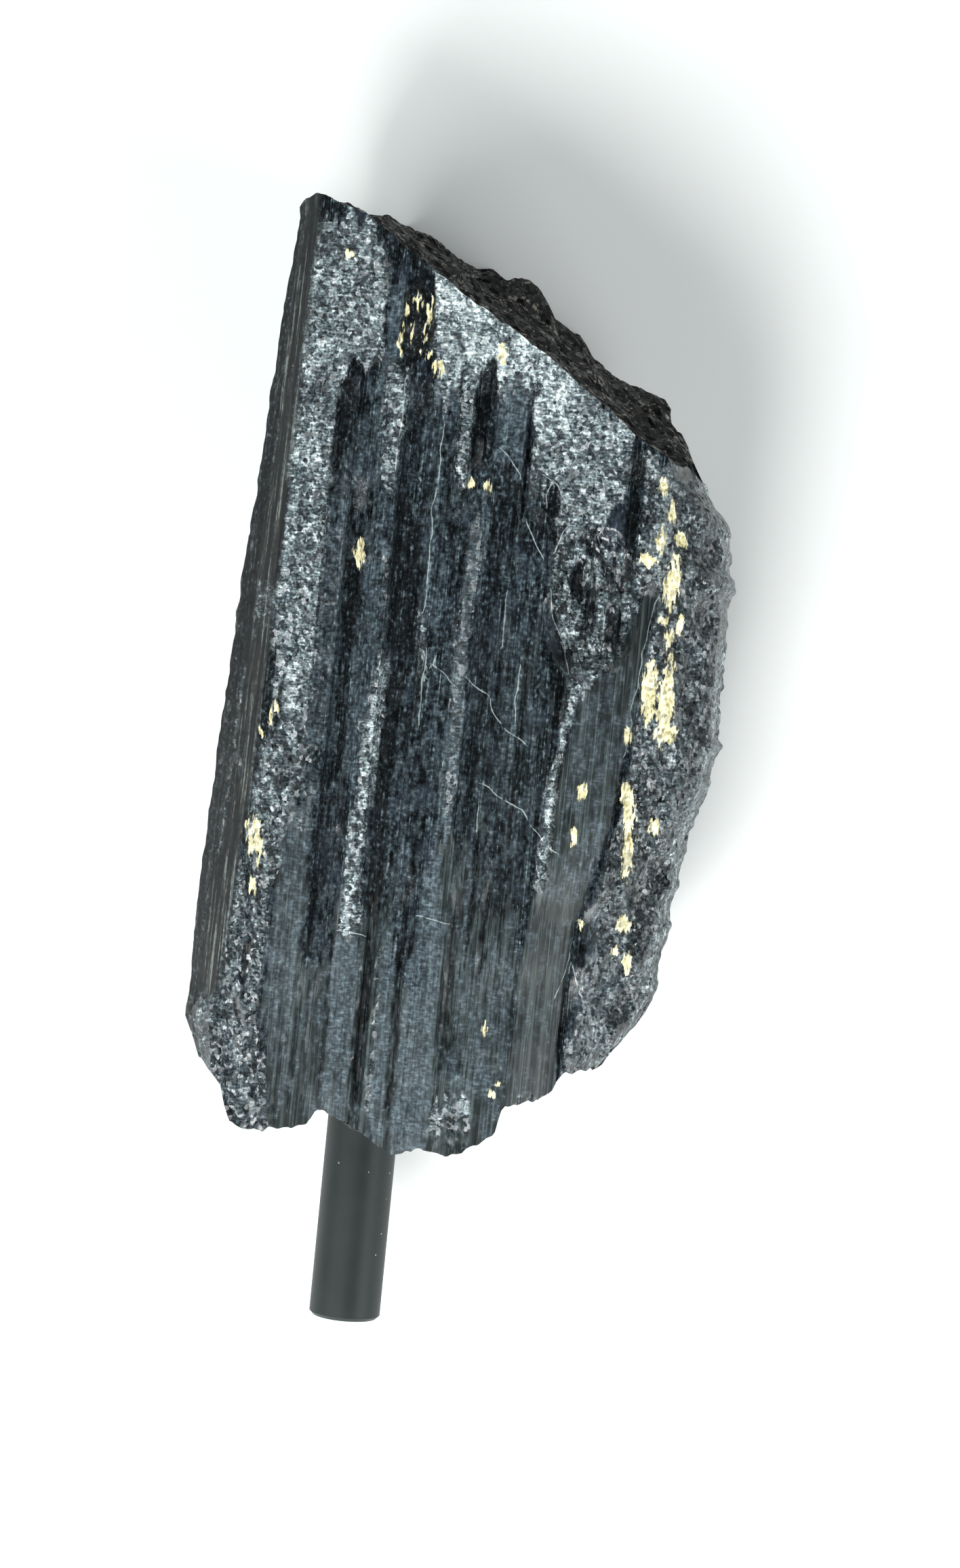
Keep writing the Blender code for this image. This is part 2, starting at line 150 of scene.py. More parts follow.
# The broken hollow in the front face.
HOLLOW_X, HOLLOW_Y, HOLLOW_HALF_WIDTH, HOLLOW_HALF_LENGTH, HOLLOW_DEPTH = 19.2, 78.5, 5.0, 8.5, 2.2
HOLLOW_CHIP_WIDTH, HOLLOW_CHIP_LENGTH = 1.7, 4.5
HOLLOW_CRUMB_HEIGHT = 0.5

# The plates of the sides and the back.
PLATE_WIDTH = 3.3
PLATE_STEP = 1.2
PLATE_LENGTH = 38.0
PLATE_EDGE = 0.3
WALL_GROOVE_DEPTH = 0.07
CENTRE = (6.0, 16.0)
# A level about half-way up the crystal, and levels near its ends from which the ends are worked out.
MIDDLE_Y, FOOT_START_Y, TIP_START_Y = 60.0, 25.0, 105.0
END_ROUNDS = 14

# The columns of points on the front: where the first and last are named for, and between which x they run
# straight up the crystal. The others follow its sides, from the x that stands for each.
FIRST_COLUMN_X, LAST_COLUMN_X = -14.9, 32.2
STRAIGHT_FROM_X, STRAIGHT_TO_X = -11.0, 22.0
CREASE_STAND_IN_X, SHOULDER_STAND_IN_X = -15.7, 33.0

# How fine the surface is meshed, in millimetres between its points.
FRONT_SPACING = 0.27
SIDE_SPACING = 1.0
ROW_SPACING = 0.38
END_SPACING = 0.45
# Edges that turn by more degrees than this are drawn sharp.
SHARP_ANGLE = 28

# What covers the front face, each as (amount, [(y, left, right), ...]) from low to high.
# Silver: etched grey grains that glitter.
SILVER = [
    (0.7, [(31, -14.2, -12.5), (46, -14.2, -12.2), (48, -15.4, -11.6), (52, -15.6, -10.4), (64.5, -15, -9.7)]),
    (0.85, [
        (64.5, -15, -9.7), (92, -14.8, -10.2), (101, -14.6, -8.2), (102, -14.5, -5.7), (113, -14.4, -6),
        (118, -13.2, -8.6),
    ]),
    (0.55, [(18.5, -14.8, -9.5), (23, -15.8, -10.5), (27, -17.3, -11.6), (31, -17.2, -12.2), (33, -14.8, -12.4)]),
    (0.6, [(30, -17.6, -14.5), (40, -17.2, -14.5), (47, -16.6, -15)]),
    (0.3, [(52, -10.4, -8.6), (66, -9.8, -8), (92, -10.3, -8)]),
    (1, [
        (41.3, -4.6, -1.9), (45, -4.6, -2.6), (50, -4.7, -2.5), (55, -4, -2.3), (60, -4.2, -2.1), (66, -3.6, -1.8),
        (71, -3.2, -2.4),
    ]),
    (0.35, [(71, -3.4, -2.6), (90, -3.6, -2.8)]), (0.8, [(89, -4.6, -2.8), (94, -4.9, -2.6), (102.4, -5.4, -2.7)]),
    (0.9, [(90, 3.2, 4.5), (98, 3, 4.7), (107, 2.9, 4.7)]),
    (0.5, [(54, 4.7, 6.1), (62, 4.8, 6.4), (68, 4.8, 6.5), (76, 4.9, 6.6), (86, 5.6, 7)]),
    (0.55, [(71.5, 0.5, 2), (76, 0.5, 1.8)]),
    (0.85, [
        (85, 12.5, 17), (88, 11.6, 20.5), (92, 11.1, 21.8), (97, 11, 21.8), (101, 10.9, 17.6), (105.5, 7.2, 10.5),
    ]),
    (0.85, [(69.5, 18, 21), (73, 17, 22.2), (76, 15.8, 23.6), (80, 14.6, 24.6), (85, 14.2, 24.4)]),
    (0.85, [(48, 16, 16.9), (55, 15.9, 17.3), (60, 16.5, 17.5), (65, 16.9, 18.1), (71, 17.2, 18.6)]),
    (0.75, [(21, 6.6, 11.2), (24.5, 7, 11.4)]), (0.8, [(28, 21, 31), (50, 23.4, 33)]),
    (0.85, [(50, 23.4, 33), (60, 24.8, 36), (79, 26.2, 37), (93, 23.6, 37)]),
    (0.7, [(83, 23.2, 25.8), (95, 23.1, 27)]), (0.8, [(27, 20.5, 27), (31, 21, 29.5), (33, 22, 30)]),
    (0.4, [(22, -0.3, 0.6), (41, -0.2, 0.5)]), (1.2, [(98.5, 1, 1.7), (100, 0.4, 2.6), (107.5, 0, 3)]),
]
# Crumbly: coarse broken grains, with shade painted into the gaps between them.
CRUMBLY = [
    (1, [
        (18, -16.5, -8.5), (24, -17.5, -11), (31, -17.3, -12.3), (40, -15.5, -12.8), (46, -15.2, -12.6),
        (50, -15.6, -11), (64, -15.2, -10.6),
    ]),
    (1, [(17, 6.4, 11.5), (24.5, 7, 11.2)]), (0.7, [(86, 12.5, 16.5), (92, 12, 20.5)]),
    (1, [(44, -4.4, -2.4), (66, -4, -2), (72, -3.2, -2.4)]),
]
CRUMB_HEIGHT = 0.3
# The floor of the broken hollow.
HOLLOW_FLOOR = [
    (70, 17.2, 22), (74, 16.6, 22.8), (78, 15.2, 24.4), (84, 14.4, 24.6), (87, 15, 22),
]
# Pale: smooth surface with a dull bluish bloom.
PALE = [
    (0.31, [(20, -14, 15), (45, -12, 15.4), (80, -10, 15), (100, -10, 10.5)]),
    (0.25, [(24, 15, 20.2), (45, 15.6, 20.8)]), (0.38, [(46, 16.5, 22), (50, 17.3, 23.5), (72, 18.6, 25)]),
    (0.55, [(30, -12.2, -8.2), (55, -11.4, -8.4)]), (0.5, [(60, -10.2, -6.9), (88, -10.2, -7.6)]),
    (0.55, [(58, -5.7, -4.2), (72, -5.7, -2.8), (84, -5.4, -3.1)]), (0.8, [(29, -4.7, -2.2), (41, -4.6, -2.2)]),
    (0.7, [(19, 0.2, 2.1), (42, 0.3, 2.1)]), (0.75, [(17, 2.9, 7), (30, 3.1, 7), (42, 3.6, 6.4), (50, 4.4, 6.1)]),
    (0.6, [(19.5, -5.2, -1.8), (30, -5, -1.8)]), (0.5, [(23, 8.6, 14.4), (40, 9.6, 14.6)]),
    (0.55, [(30, 20.8, 24.5), (50, 22.8, 27)]), (0.7, [(92, 7.2, 10.2), (102, 7.2, 10.4)]),
    (1, [(97.5, 1.1, 1.7), (99, 0.3, 2.7), (107.5, 0.1, 3)]),
    (1, [(52, 4.6, 6.1), (62, 4.8, 6.4), (75, 4.9, 6.6), (80, 5.4, 6.9), (88, 5.7, 7.1)]),
    (0.7, [(88, -6.3, -5.4), (96, -6, -4.9), (102, -5.7, -4.1), (111.5, -5.6, -4)]),
    (0.7, [(25, 11.4, 13.5), (29.5, 11.4, 13.5)]), (0.9, [(76, 1.1, 1.45), (97, 1.1, 1.45)]),
    (0.6, [(73, 9.8, 10.2), (80, 9.8, 10.2)]), (0.6, [(56, 11.4, 12.1), (72, 11.7, 12.2)]),
    (0.7, [(63, 24.2, 24.7), (70, 24.6, 25.1), (75, 25.2, 25.7), (80, 26.1, 26.6)]),
    (0.6, [(51, 21.8, 22.2), (62, 21.8, 22.2)]), (0.9, [(64, 1.68, 2), (72, 1.68, 2)]),
    (0.4, [(30, -7, -5.2), (40, -7.2, -5.2)]), (0.45, [(43, 0.6, 2), (60, 0.7, 2)]),
    (0.5, [(34, 8.6, 9.2), (52, 8.4, 9.1)]),
]
# Dull: smooth faces, worn a little matt.
DULL = [
    (1, [
        (25, 14.9, 20.2), (40, 15, 20.3), (46, 15.9, 20.9), (55, 17.3, 23.2), (65, 18.2, 24.2), (70, 18.8, 24.8),
        (75, 22.4, 25.3), (80, 24.8, 26),
    ]),
    (0.8, [(30, -12.2, -8.2), (55, -11.4, -8.4)]), (0.7, [(17, -11, -5), (38, -11, -5)]),
    (0.7, [(17, -5, 1), (45, -5, 1)]), (0.7, [(17, 1, 5), (36, 1, 5)]), (0.75, [(17, 5, 9), (52, 5, 9)]),
    (0.75, [(17, 9, 14.8), (46, 9, 14.8)]), (0.35, [(45, 7, 15.4), (60, 7, 15.8), (78, 7.2, 14.4)]),
]
# Black and painted shade: clean black windows, and shade painted into the grooves, the hollow's pits and the left
# crease.
BLACK_AND_GROOVE_SHADE = [
    (0.9, [(91, -10.2, -8.2), (96, -10.4, -8), (101, -10, -8.2)]), (0.6, [(93.5, -2.5, -0.5), (101, -2.5, -0.5)]),
    (1, [(102.7, -4.2, -0.4), (108, -4.2, -0.6), (112, -3.8, -1.4)]),
    (1, [(58, -6.8, -6.2), (70, -6.9, -6.2), (74, -7.4, -5.9), (84, -7.2, -6)]),
    (1, [(71.5, -2.5, 0.3), (87, -2.5, 0.3)]), (1, [(63.5, 1.25, 1.65), (72.5, 1.25, 1.65)]),
    (1, [(43, -2.3, -0.5), (61, -2.1, -0.5), (70, -1.6, -0.4)]),
    (0.95, [(91.5, 4.75, 7), (96, 4.7, 7), (103.5, 4.8, 6.4)]), (0.8, [(37, -8.1, -7.6), (58, -8.1, -7.6)]),
    (1, [(24, -1.5, -0.8), (41, -1.5, -0.8)]), (0.8, [(22, 2.1, 2.8), (47, 2.1, 2.8)]),
    (0.75, [(29, 7.2, 8.4), (48, 7.3, 8.2)]), (0.8, [(40, 9.2, 9.6), (53, 9.2, 9.6)]),
    (0.8, [(37, 10.7, 11.2), (48, 10.7, 11.2)]), (1, [(82, 22, 23), (95, 22, 23)]),
    (0.5, [(83, 24.3, 24.6), (92, 24.3, 24.6)]), (1, [(79.2, 16.6, 18.1), (83, 16.8, 18.3)]),
    (1, [(76, 18.4, 19.5), (80.8, 18.4, 19.5)]), (1, [(74.4, 20.9, 22.7), (77.6, 20.9, 22.7)]),
    (0.8, [(79.5, 20.6, 21.6), (84, 20.8, 21.6)]), (0.8, [(29, 20, 20.6), (36.5, 20, 20.6)]),
    (1, [(34.4, -14.5, -14), (39, -14.5, -14)]), (0.7, [(85, 10.35, 10.95), (101.5, 10.35, 10.95)]),
    (0.8, [(60, -15.3, -14.3), (70, -15.2, -14.2)]), (0.6, [(62, -13.7, -13.1), (68, -13.7, -13.1)]),
    (0.6, [(50, 7.2, 8.6), (85, 7.2, 8.8)]), (0.7, [(54, 12.4, 13.2), (80, 12.4, 13.2)]),
    (0.6, [(84, 7.4, 10), (93, 7.4, 10)]), (0.7, [(83, 11.3, 13.9), (86, 11.4, 15), (90.5, 11.6, 14.6)]),
]
# Cream mineral stains: x, y, half width, half length.
STAINS = [
    (-2.6, 109.2, 0.25, 0.9), (-1.1, 103.7, 0.6, 0.35), (-4.1, 105.2, 0.1, 1.8), (-3.7, 108.2, 0.12, 0.8),
    (-3, 105.6, 0.1, 1.6), (-1.6, 107, 0.1, 2.4), (-1.2, 107.8, 0.1, 2.2), (0.2, 102.2, 0.6, 0.9),
    (7, 104.4, 0.5, 1), (-10.5, 113.5, 0.35, 0.35), (-6.4, 81.8, 0.5, 1.5), (5, 90.3, 0.22, 0.5),
    (6.8, 90.1, 0.32, 0.4), (25.5, 92, 0.39, 0.88), (26.8, 89.5, 0.39, 1.1), (25.9, 86, 0.43, 1.54),
    (28, 86.5, 0.73, 0.66), (27.5, 82, 0.79, 2.97), (24.8, 83.8, 0.99, 0.66), (27, 77.7, 0.59, 0.44),
    (28.9, 77.5, 0.32, 1.1), (27.8, 76, 0.46, 0.99), (26.2, 69.8, 0.73, 3.74), (28.1, 69, 0.86, 4.84),
    (28.4, 65.7, 1.27, 1.21), (24.3, 65, 0.32, 0.77), (24.9, 58.6, 0.52, 1.32), (25.4, 56.4, 0.66, 1.54),
    (25.6, 52.6, 0.59, 3.08), (28.2, 55.5, 0.59, 0.99), (20, 58.5, 0.35, 1), (19.6, 53.5, 0.2, 1),
    (26, 44.7, 0.79, 0.88), (21.3, 44.2, 0.3, 0.4), (26.8, 40.5, 0.39, 1.1), (25.2, 41.8, 0.39, 0.44),
    (12.1, 32.4, 0.14, 0.7), (14, 26.5, 0.2, 0.3), (13.5, 25.5, 0.2, 0.3), (-14.6, 50.4, 0.8, 1.7),
    (-13.9, 48.8, 0.25, 1.4), (-15.8, 50.8, 0.6, 1.1), (-16.1, 48.3, 0.35, 1), (-14.3, 45, 0.3, 1),
    (-16.75, 39.5, 0.3, 0.9), (-16.8, 37, 0.35, 0.8), (-14.1, 63.5, 0.12, 1), (-15.3, 65.5, 0.1, 0.7),
    (-13.6, 64.4, 0.1, 0.9), (-14.6, 61.3, 0.25, 0.3),
]
# Fine pale veins in the surface, as (x, y) along each.
VEINS = [
    [(12.7, 92), (14.5, 90.5), (15.4, 88.8), (15.7, 87), (14.6, 84)], [(13.3, 91), (13.2, 88.5)],
    [(7.8, 94.3), (10.3, 91.3)], [(11.2, 86.7), (13.5, 82.8)], [(2.7, 70.4), (4.2, 69.8), (5.5, 68.2)],
    [(6.3, 69.5), (8.9, 67.9), (9.5, 66.5), (11.2, 64.2), (13.5, 63)],
    [(9.3, 58.3), (11.5, 57), (13.6, 56), (16.2, 52.8), (17.7, 51.8)], [(20.6, 42.5), (20.5, 40.5), (19.3, 36.3)],
    [(20.6, 40.3), (21.8, 37.5)], [(3.8, 43.6), (7, 43)], [(14.3, 80), (15.5, 76), (16.5, 74), (17.3, 71)],
    [(-4.4, 41.2), (-1.9, 41)], [(20.7, 75), (20.7, 80)], [(3, 71.5), (1.9, 69)], [(4.7, 60), (4.8, 60.3)],
    [(1.2, 76), (1.15, 86), (1.3, 97)], [(1.85, 64), (1.85, 72)], [(10, 73), (10, 79)], [(12, 65), (12, 72)],
    [(26.2, 80), (25.3, 75), (24.7, 70), (24.3, 63)], [(-3.2, 91), (-3.1, 101)], [(9.1, 53), (9.1, 56)],
]
VEIN_REACH = 0.8
VEIN_HALF_WIDTH = 0.08
# A vein is drawn where it is nearer than this.
VEIN_NEARNESS = 0.55


def at(table, value):
    """The second column of a table at a value of its first, on straight lines between its points."""
    first, second = np.array(table, float).T
    return np.interp(value, first, second)


def chance(i, j, seed):
    """A repeatable number from -1 to 1 for a pair of whole numbers."""
    wave = np.sin(i * 127.1 + j * 311.7 + seed * 74.7) * 43758.5453
    return 2.0 * (wave - np.floor(wave)) - 1.0


def lumps(x, y, size, seed):
    """Smooth irregular lumps of about that size, from -1 to 1, over two coordinates."""
    u, v = x / size, y / size
    i, j = np.floor(u), np.floor(v)
    f, g = u - i, v - j
    f, g = f * f * (3 - 2 * f), g * g * (3 - 2 * g)
    low = chance(i, j, seed) * (1 - f) + chance(i + 1, j, seed) * f
    high = chance(i, j + 1, seed) * (1 - f) + chance(i + 1, j + 1, seed) * f
    return low * (1 - g) + high * g


def crumbs(x, y, size, seed):
    """Rounded crumbs of about that size packed side by side: near 1 on top of a high one, 0 in the gaps."""
    u, v = (0.82 * x + 0.57 * y) / size, (0.82 * y - 0.57 * x) / size
    height = np.zeros_like(u)
    for i_step in (-1, 0, 1):
        for j_step in (-1, 0, 1):
            i, j = np.floor(u) + i_step, np.floor(v) + j_step
            middle_u, middle_v = i + 0.5 + 0.4 * chance(i, j, seed), j + 0.5 + 0.4 * chance(i, j, seed + 1)
            dome = np.sqrt(np.clip(1.0 - 1.3 * ((u - middle_u) ** 2 + (v - middle_v) ** 2), 0, 1))
            height = np.maximum(height, dome * (0.72 + 0.28 * chance(i, j, seed + 2)))
    return height


def ramp(value, start, length):
    """0 before the start, 1 after the length, straight between."""
    return np.clip((value - start) / length, 0.0, 1.0)


def band_height(x, y):
    """How far the ribs and troughs of the front stand over the face."""
    height = np.zeros_like(x)
    for left, right, low, high, over in BANDS:
        wavy_x = x + 0.1 * lumps(y, y * 0 + left, 1.6, 19)
        across = ramp(wavy_x, left, BAND_WALL) * ramp(-wavy_x, -right, BAND_WALL)
        height += over * across * ramp(y, low, BAND_FADE) * ramp(-y, -high, BAND_FADE)
    return height


def front_z(x, y, shoulder):
    """Height of the front face, from the crease on the left to the shoulder on the right."""
    ridge, foot = at(SLOPE_RIDGE, y), at(SLOPE_FOOT, y)
    ridge_z = at(FRONT_PROFILE, ridge)
    slope = ramp(x, ridge, foot - ridge) * SLOPE_DROP * ramp(-y, -SLOPE_TOP_Y - SLOPE_FADE, SLOPE_FADE)
    # Past the foot of the smooth slope the rough flank stands proud again, and falls to the shoulder.
    flank_run = np.maximum(shoulder - foot, 1.0)
    flank = ridge_z - FLANK_STEP - (ridge_z - FLANK_STEP - SHOULDER_Z) * ramp(x, foot, flank_run) ** FLANK_CURVE
    z = np.where(x > foot + BAND_WALL, flank, np.where(x > ridge, ridge_z - slope, at(FRONT_PROFILE, x)))
    chips = lumps(x + 0.3 * y, y * 0.5 - 0.4 * x, 1.9, 3) + 0.5 * lumps(x, y, 4.5, 13)
    chips += 0.8 * crumbs(x, y * 0.6, 0.9, 14) - 0.5
    flank_lumps = chips * FLANK_CHIP_HEIGHT * ramp(x, foot + BAND_WALL, 1.5)
    hollow = 1 - ((x - HOLLOW_X) / HOLLOW_HALF_WIDTH) ** 2 - ((y - HOLLOW_Y) / HOLLOW_HALF_LENGTH) ** 2
    chip = chance(np.floor(x / HOLLOW_CHIP_WIDTH), np.floor(y / HOLLOW_CHIP_LENGTH + 0.37 * x), 5)
    broken = np.clip((hollow + 0.25 * lumps(x, y, 2.5, 12)) * 2.5, 0, 1)
    broken *= HOLLOW_DEPTH * (0.8 + 0.45 * chip) - HOLLOW_CRUMB_HEIGHT * crumbs(x, y, 1.0, 15)
    grown = grooves(x, y, FRONT_GROOVE_DEPTH) * (1 - 0.8 * ramp(x, ridge, 0.5) * ramp(-x, -foot, 0.5))
    grains = GRAIN_HEIGHT * crumbs(x, y, 0.62, 16) * cover(x, y, SILVER, 61)
    grains += CRUMB_HEIGHT * (crumbs(x, y, 0.9, 18) - 0.6) * cover(x, y, CRUMBLY, 69)
    swells = SWELL_HEIGHT * lumps(x, y, SWELL_LENGTH, 4)
    return z + band_height(x, y) + flank_lumps + swells - broken + grown + grains


# Numbers of the corners that walls() gives.
RIGHT_BROW_CORNER, RESTING_CORNER, LEFT_BROW_CORNER = 1, 4, 8


def right_brow(y):
    """The widest line on the right, with the chips that its broken edge has lost."""
    return at(RIGHT_BROW, y) + 0.3 * lumps(y, y * 0, 1.5, 17) + 0.22 * lumps(y, y * 0, 0.7, 18)


def left_brow(y):
    """The widest line on the left, which is less chipped."""
    return at(LEFT_BROW, y) + 0.12 * lumps(y, y * 0, 1.9, 27) + 0.08 * lumps(y, y * 0, 0.8, 28)


def walls(y):
    """Corners of the section, as (x, z), from the front's right end round under the crystal to its left end."""
    left, right, crease = left_brow(y), right_brow(y), at(LEFT_CREASE, y)
    return [
        (right - SHOULDER_RUN, SHOULDER_Z),
        (right, RIGHT_BROW_Z),
        (right + 0.4, 16.0),
        (right - 1.2, 8.0),
        (right - 10.0, 0.0),
        (left + 10.0, 0.0),
        (left + 1.8, 9.5),
        (left - 0.4, 19.0),
        (left, LEFT_BROW_Z),
        (crease, CREASE_Z),
    ]


def wall_columns():
    """Columns on the sides and back: each one's place, as a corner's number plus a share of the way to the
    next, and the number of its plate. A plate has a column on each of its edges and more between them."""
    corners = np.array(walls(MIDDLE_Y))
    lengths = np.linalg.norm(np.diff(corners, axis=0), axis=1)
    places, plates = [], []
    for i, length in enumerate(lengths):
        count = max(1, round(length / PLATE_WIDTH))
        for plate in range(count):
            start, end = i + plate / count + PLATE_EDGE / length, i + (plate + 1) / count - PLATE_EDGE / length
            columns = 2 + round((end - start) * length / SIDE_SPACING)
            places += list(np.linspace(start, end, columns))
            plates += [10 * i + plate] * columns
    places[0], places[-1] = 0.0, float(len(lengths))
    return np.array(places), np.array(plates)


def front_columns():
    """Places of the columns on the front, as x, evenly spaced but for those drawn to the edges of a band."""
    columns = np.arange(FIRST_COLUMN_X, LAST_COLUMN_X, FRONT_SPACING)
    for left, right, *_ in BANDS:
        for border in (left, left + BAND_WALL, right - BAND_WALL, right):
            columns[np.abs(columns - border).argmin()] = border
    return np.unique(columns.round(3))


def front_x(nominal, y):
    """x of a front column. Columns near the sides follow them, and the rest run straight up the crystal."""
    crease, shoulder = at(LEFT_CREASE, y), right_brow(y) - SHOULDER_RUN
    left_share = (STRAIGHT_FROM_X - nominal) / (STRAIGHT_FROM_X - CREASE_STAND_IN_X)
    right_share = (nominal - STRAIGHT_TO_X) / (SHOULDER_STAND_IN_X - STRAIGHT_TO_X)
    left_x = STRAIGHT_FROM_X + (crease - STRAIGHT_FROM_X) * left_share
    right_x = STRAIGHT_TO_X + (shoulder - STRAIGHT_TO_X) * right_share
    return np.where(nominal < STRAIGHT_FROM_X, left_x, np.where(nominal > STRAIGHT_TO_X, right_x, nominal))


def plate_relief(plate, y):
    """How far each plate of the sides and back is sunk. Along its length it steps from one depth to another."""
    piece = np.floor((y + 40.0 * chance(plate, 0, 8)) / PLATE_LENGTH)
    return PLATE_STEP * (chance(plate, piece, 9) * 0.5 - 0.5)


def wall_point(place, plate, y):
    """(x, z) on the sides and back, with each plate sunk by its relief and nothing under the resting face."""
    corners = walls(y)
    xs, zs = np.array([c[0] for c in corners]), np.array([c[1] for c in corners])
    i = np.minimum(place.astype(int), len(corners) - 2)
    share, rows = place - i, np.arange(len(place))
    x = xs[i, rows] * (1 - share) + xs[i + 1, rows] * share
    z = zs[i] * (1 - share) + zs[i + 1] * share
    brows = ramp(place, RIGHT_BROW_CORNER, 0.12) * ramp(-place, -LEFT_BROW_CORNER, 0.12)
    resting = (place >= RESTING_CORNER) & (place <= RESTING_CORNER + 1)
    out = np.stack([x - CENTRE[0], z - CENTRE[1]])
    out /= np.linalg.norm(out, axis=0)
    groove_run = np.where(place < RESTING_CORNER, place * 12.0, 100 + place * 12.0)
    fine = np.where(resting, 0.0, grooves(groove_run, y, WALL_GROOVE_DEPTH)) * ramp(place, 0.0, 0.1)
    relief = np.where(resting, 0.0, plate_relief(plate, y) * brows) + fine
    return x + out[0] * relief, np.maximum(z + out[1] * relief, 0.0)


def grooves(across, y, depth):
    """Fine ridges and grooves that run along the crystal, each with an end here and there."""
    height = np.zeros_like(across)
    for width, length, share in ((1.3, 26.0, 1.0), (0.62, 15.0, 0.6)):
        cell = np.floor(across / width)
        piece = np.floor((y + 60.0 * chance(cell, 3, 31)) / length)
        height += share * chance(cell, piece, 32)
    return depth * height


def ribbon(x, y, rows, soft=0.3):
    """1 inside a band that runs up the crystal, given as (y, left, right) from low to high, and 0 outside."""
    ys, lefts, rights = np.array(rows, float).T
    left, right = np.interp(y, ys, lefts), np.interp(y, ys, rights)
    ends = ramp(y, ys[0] - 0.4, 0.8) * ramp(-y, -ys[-1] - 0.4, 0.8)
    return ramp(x, left - soft / 2, soft) * ramp(-x, -right - soft / 2, soft) * ends


def cover(x, y, ribbons, seed, soft=0.6):
    """How much of one kind of surface is at each point of the front, with ragged edges."""
    wavy_x = x + 0.3 * lumps(x, y * 0.5, 0.9, seed) + 0.3 * lumps(x, y * 0.4, 2.3, seed + 2)
    ragged_y = y + 1.3 * chance(np.floor(x / 0.45), 0, seed) + 0.5 * lumps(x, y, 1.2, seed + 1)
    amount = np.zeros_like(x)
    for share, rows in ribbons:
        amount = np.maximum(amount, share * ribbon(wavy_x, ragged_y, rows, soft))
    return amount


def stained(x, y):
    """How near each point of the front is to the middle of a cream stain, 1 there and 0 outside."""
    amount = np.zeros_like(x)
    for stain_x, stain_y, half_width, half_length in STAINS:
        away = ((x - stain_x) / (half_width + 0.12)) ** 2 + ((y - stain_y) / (half_length + 0.12)) ** 2
        amount = np.maximum(amount, np.clip(1.3 - away, 0, 1))
    return amount


def veined(x, y):
    """How far each point of the front is to one side of the nearest vein, which is below 0 on its other side,
    and how near the vein is: 1 on it, and 0 from VEIN_REACH away."""
    side, nearest = np.full_like(x, VEIN_REACH), np.full_like(x, VEIN_REACH)
    for vein in VEINS:
        for (x0, y0), (x1, y1) in zip(vein, vein[1:]):
            run, rise = x1 - x0, y1 - y0
            share = np.clip(((x - x0) * run + (y - y0) * rise) / (run**2 + rise**2), 0, 1)
            away = np.hypot(x - x0 - share * run, y - y0 - share * rise)
            turn = np.where((x - x0) * rise - (y - y0) * run < 0, -1.0, 1.0)
            side = np.where(away < nearest, away * turn, side)
            nearest = np.minimum(nearest, away)
    return side, 1 - nearest / VEIN_REACH


def tip_y(x, z):
    """The broken surface at the tip, over a point of the section."""
    y = at(TIP_EDGE, x) + at(TIP_RISE, x) * np.maximum(CREASE_Z - z, 0.0)
    for lump_x, lump_z, radius, height in TIP_LUMPS:
        away = ((x - lump_x) ** 2 + (z - lump_z) ** 2) / radius**2
        y += height * np.clip(1 - away, 0, 1) ** 0.7
    behind = ramp(-z, -CREASE_Z + 1.0, 3.0)
    grains = 0.9 * crumbs(x, z, 1.6, 41) + 0.45 * crumbs(x, z, 0.9, 42) - 1.0
    return y + (0.5 * lumps(x, z, 2.6, 6) + grains) * behind + 0.15 * lumps(x, z, 0.9, 40)


def foot_y(x, z):
    """The stepped surface at the foot, where each bundle of columns ends on its own level."""
    y = at(FOOT_EDGE, x) + 0.04 * np.maximum(CREASE_Z - z, 0.0)
    for left, right, low, high, higher in SHORT_BUNDLES:
        y += higher * ramp(x, left, 0.8) * ramp(-x, -right, 0.8) * ramp(z, low, 0.8) * ramp(-z, -high, 0.8)
    behind = ramp(-z, -CREASE_Z + 1.0, 3.0)
    steps = 0.35 * chance(np.floor(x / 1.1), np.floor(z / 1.3), 43) + 0.4 * crumbs(x, z, 1.1, 44)
    return y + (0.5 * lumps(x, z, 2.4, 7) + steps) * behind + 0.3 * lumps(x, z, 0.9, 45) + 0.2 * lumps(x, z, 0.5, 46)


FRONTS = front_columns()
PLACES, PLATES = wall_columns()


def section(y):
    """(x, z) of every column of the crystal, where each is at its own y."""
    front_part, wall_part = y[: len(FRONTS)], y[len(FRONTS) :]
    x = front_x(FRONTS, front_part)
    z = front_z(x, front_part, right_brow(front_part) - SHOULDER_RUN)
    x_wall, z_wall = wall_point(PLACES, PLATES, wall_part)
    return np.concatenate([x, x_wall]), np.concatenate([z, z_wall])


def side_points():
    """Every point of the crystal's sides, as rows of (x, y, z) from its foot to its tip."""
    count = len(FRONTS) + len(PLACES)
    foot, tip = np.full(count, FOOT_START_Y), np.full(count, TIP_START_Y)
    for _ in range(END_ROUNDS):
        foot = 0.5 * foot + 0.5 * foot_y(*section(foot))
        tip = 0.5 * tip + 0.5 * tip_y(*section(tip))
    rows = round((tip - foot).mean() / ROW_SPACING)
    points = []
    for row in range(rows + 1):
        y = foot + (tip - foot) * row / rows
        x, z = section(y)
        points.append(np.stack([x, y, z], axis=1))
    return np.array(points)


def inside(polygon, points):
    """Whether each point is inside a closed outline."""
    x, z = points[:, :1], points[:, 1:]
    x0, z0 = polygon.T
    x1, z1 = np.roll(polygon, -1, axis=0).T
    with np.errstate(divide="ignore", invalid="ignore"):
        crossed = ((z0 > z) != (z1 > z)) & (x < (x1 - x0) * (z - z0) / (z1 - z0) + x0)
    return crossed.sum(axis=1) % 2 == 1


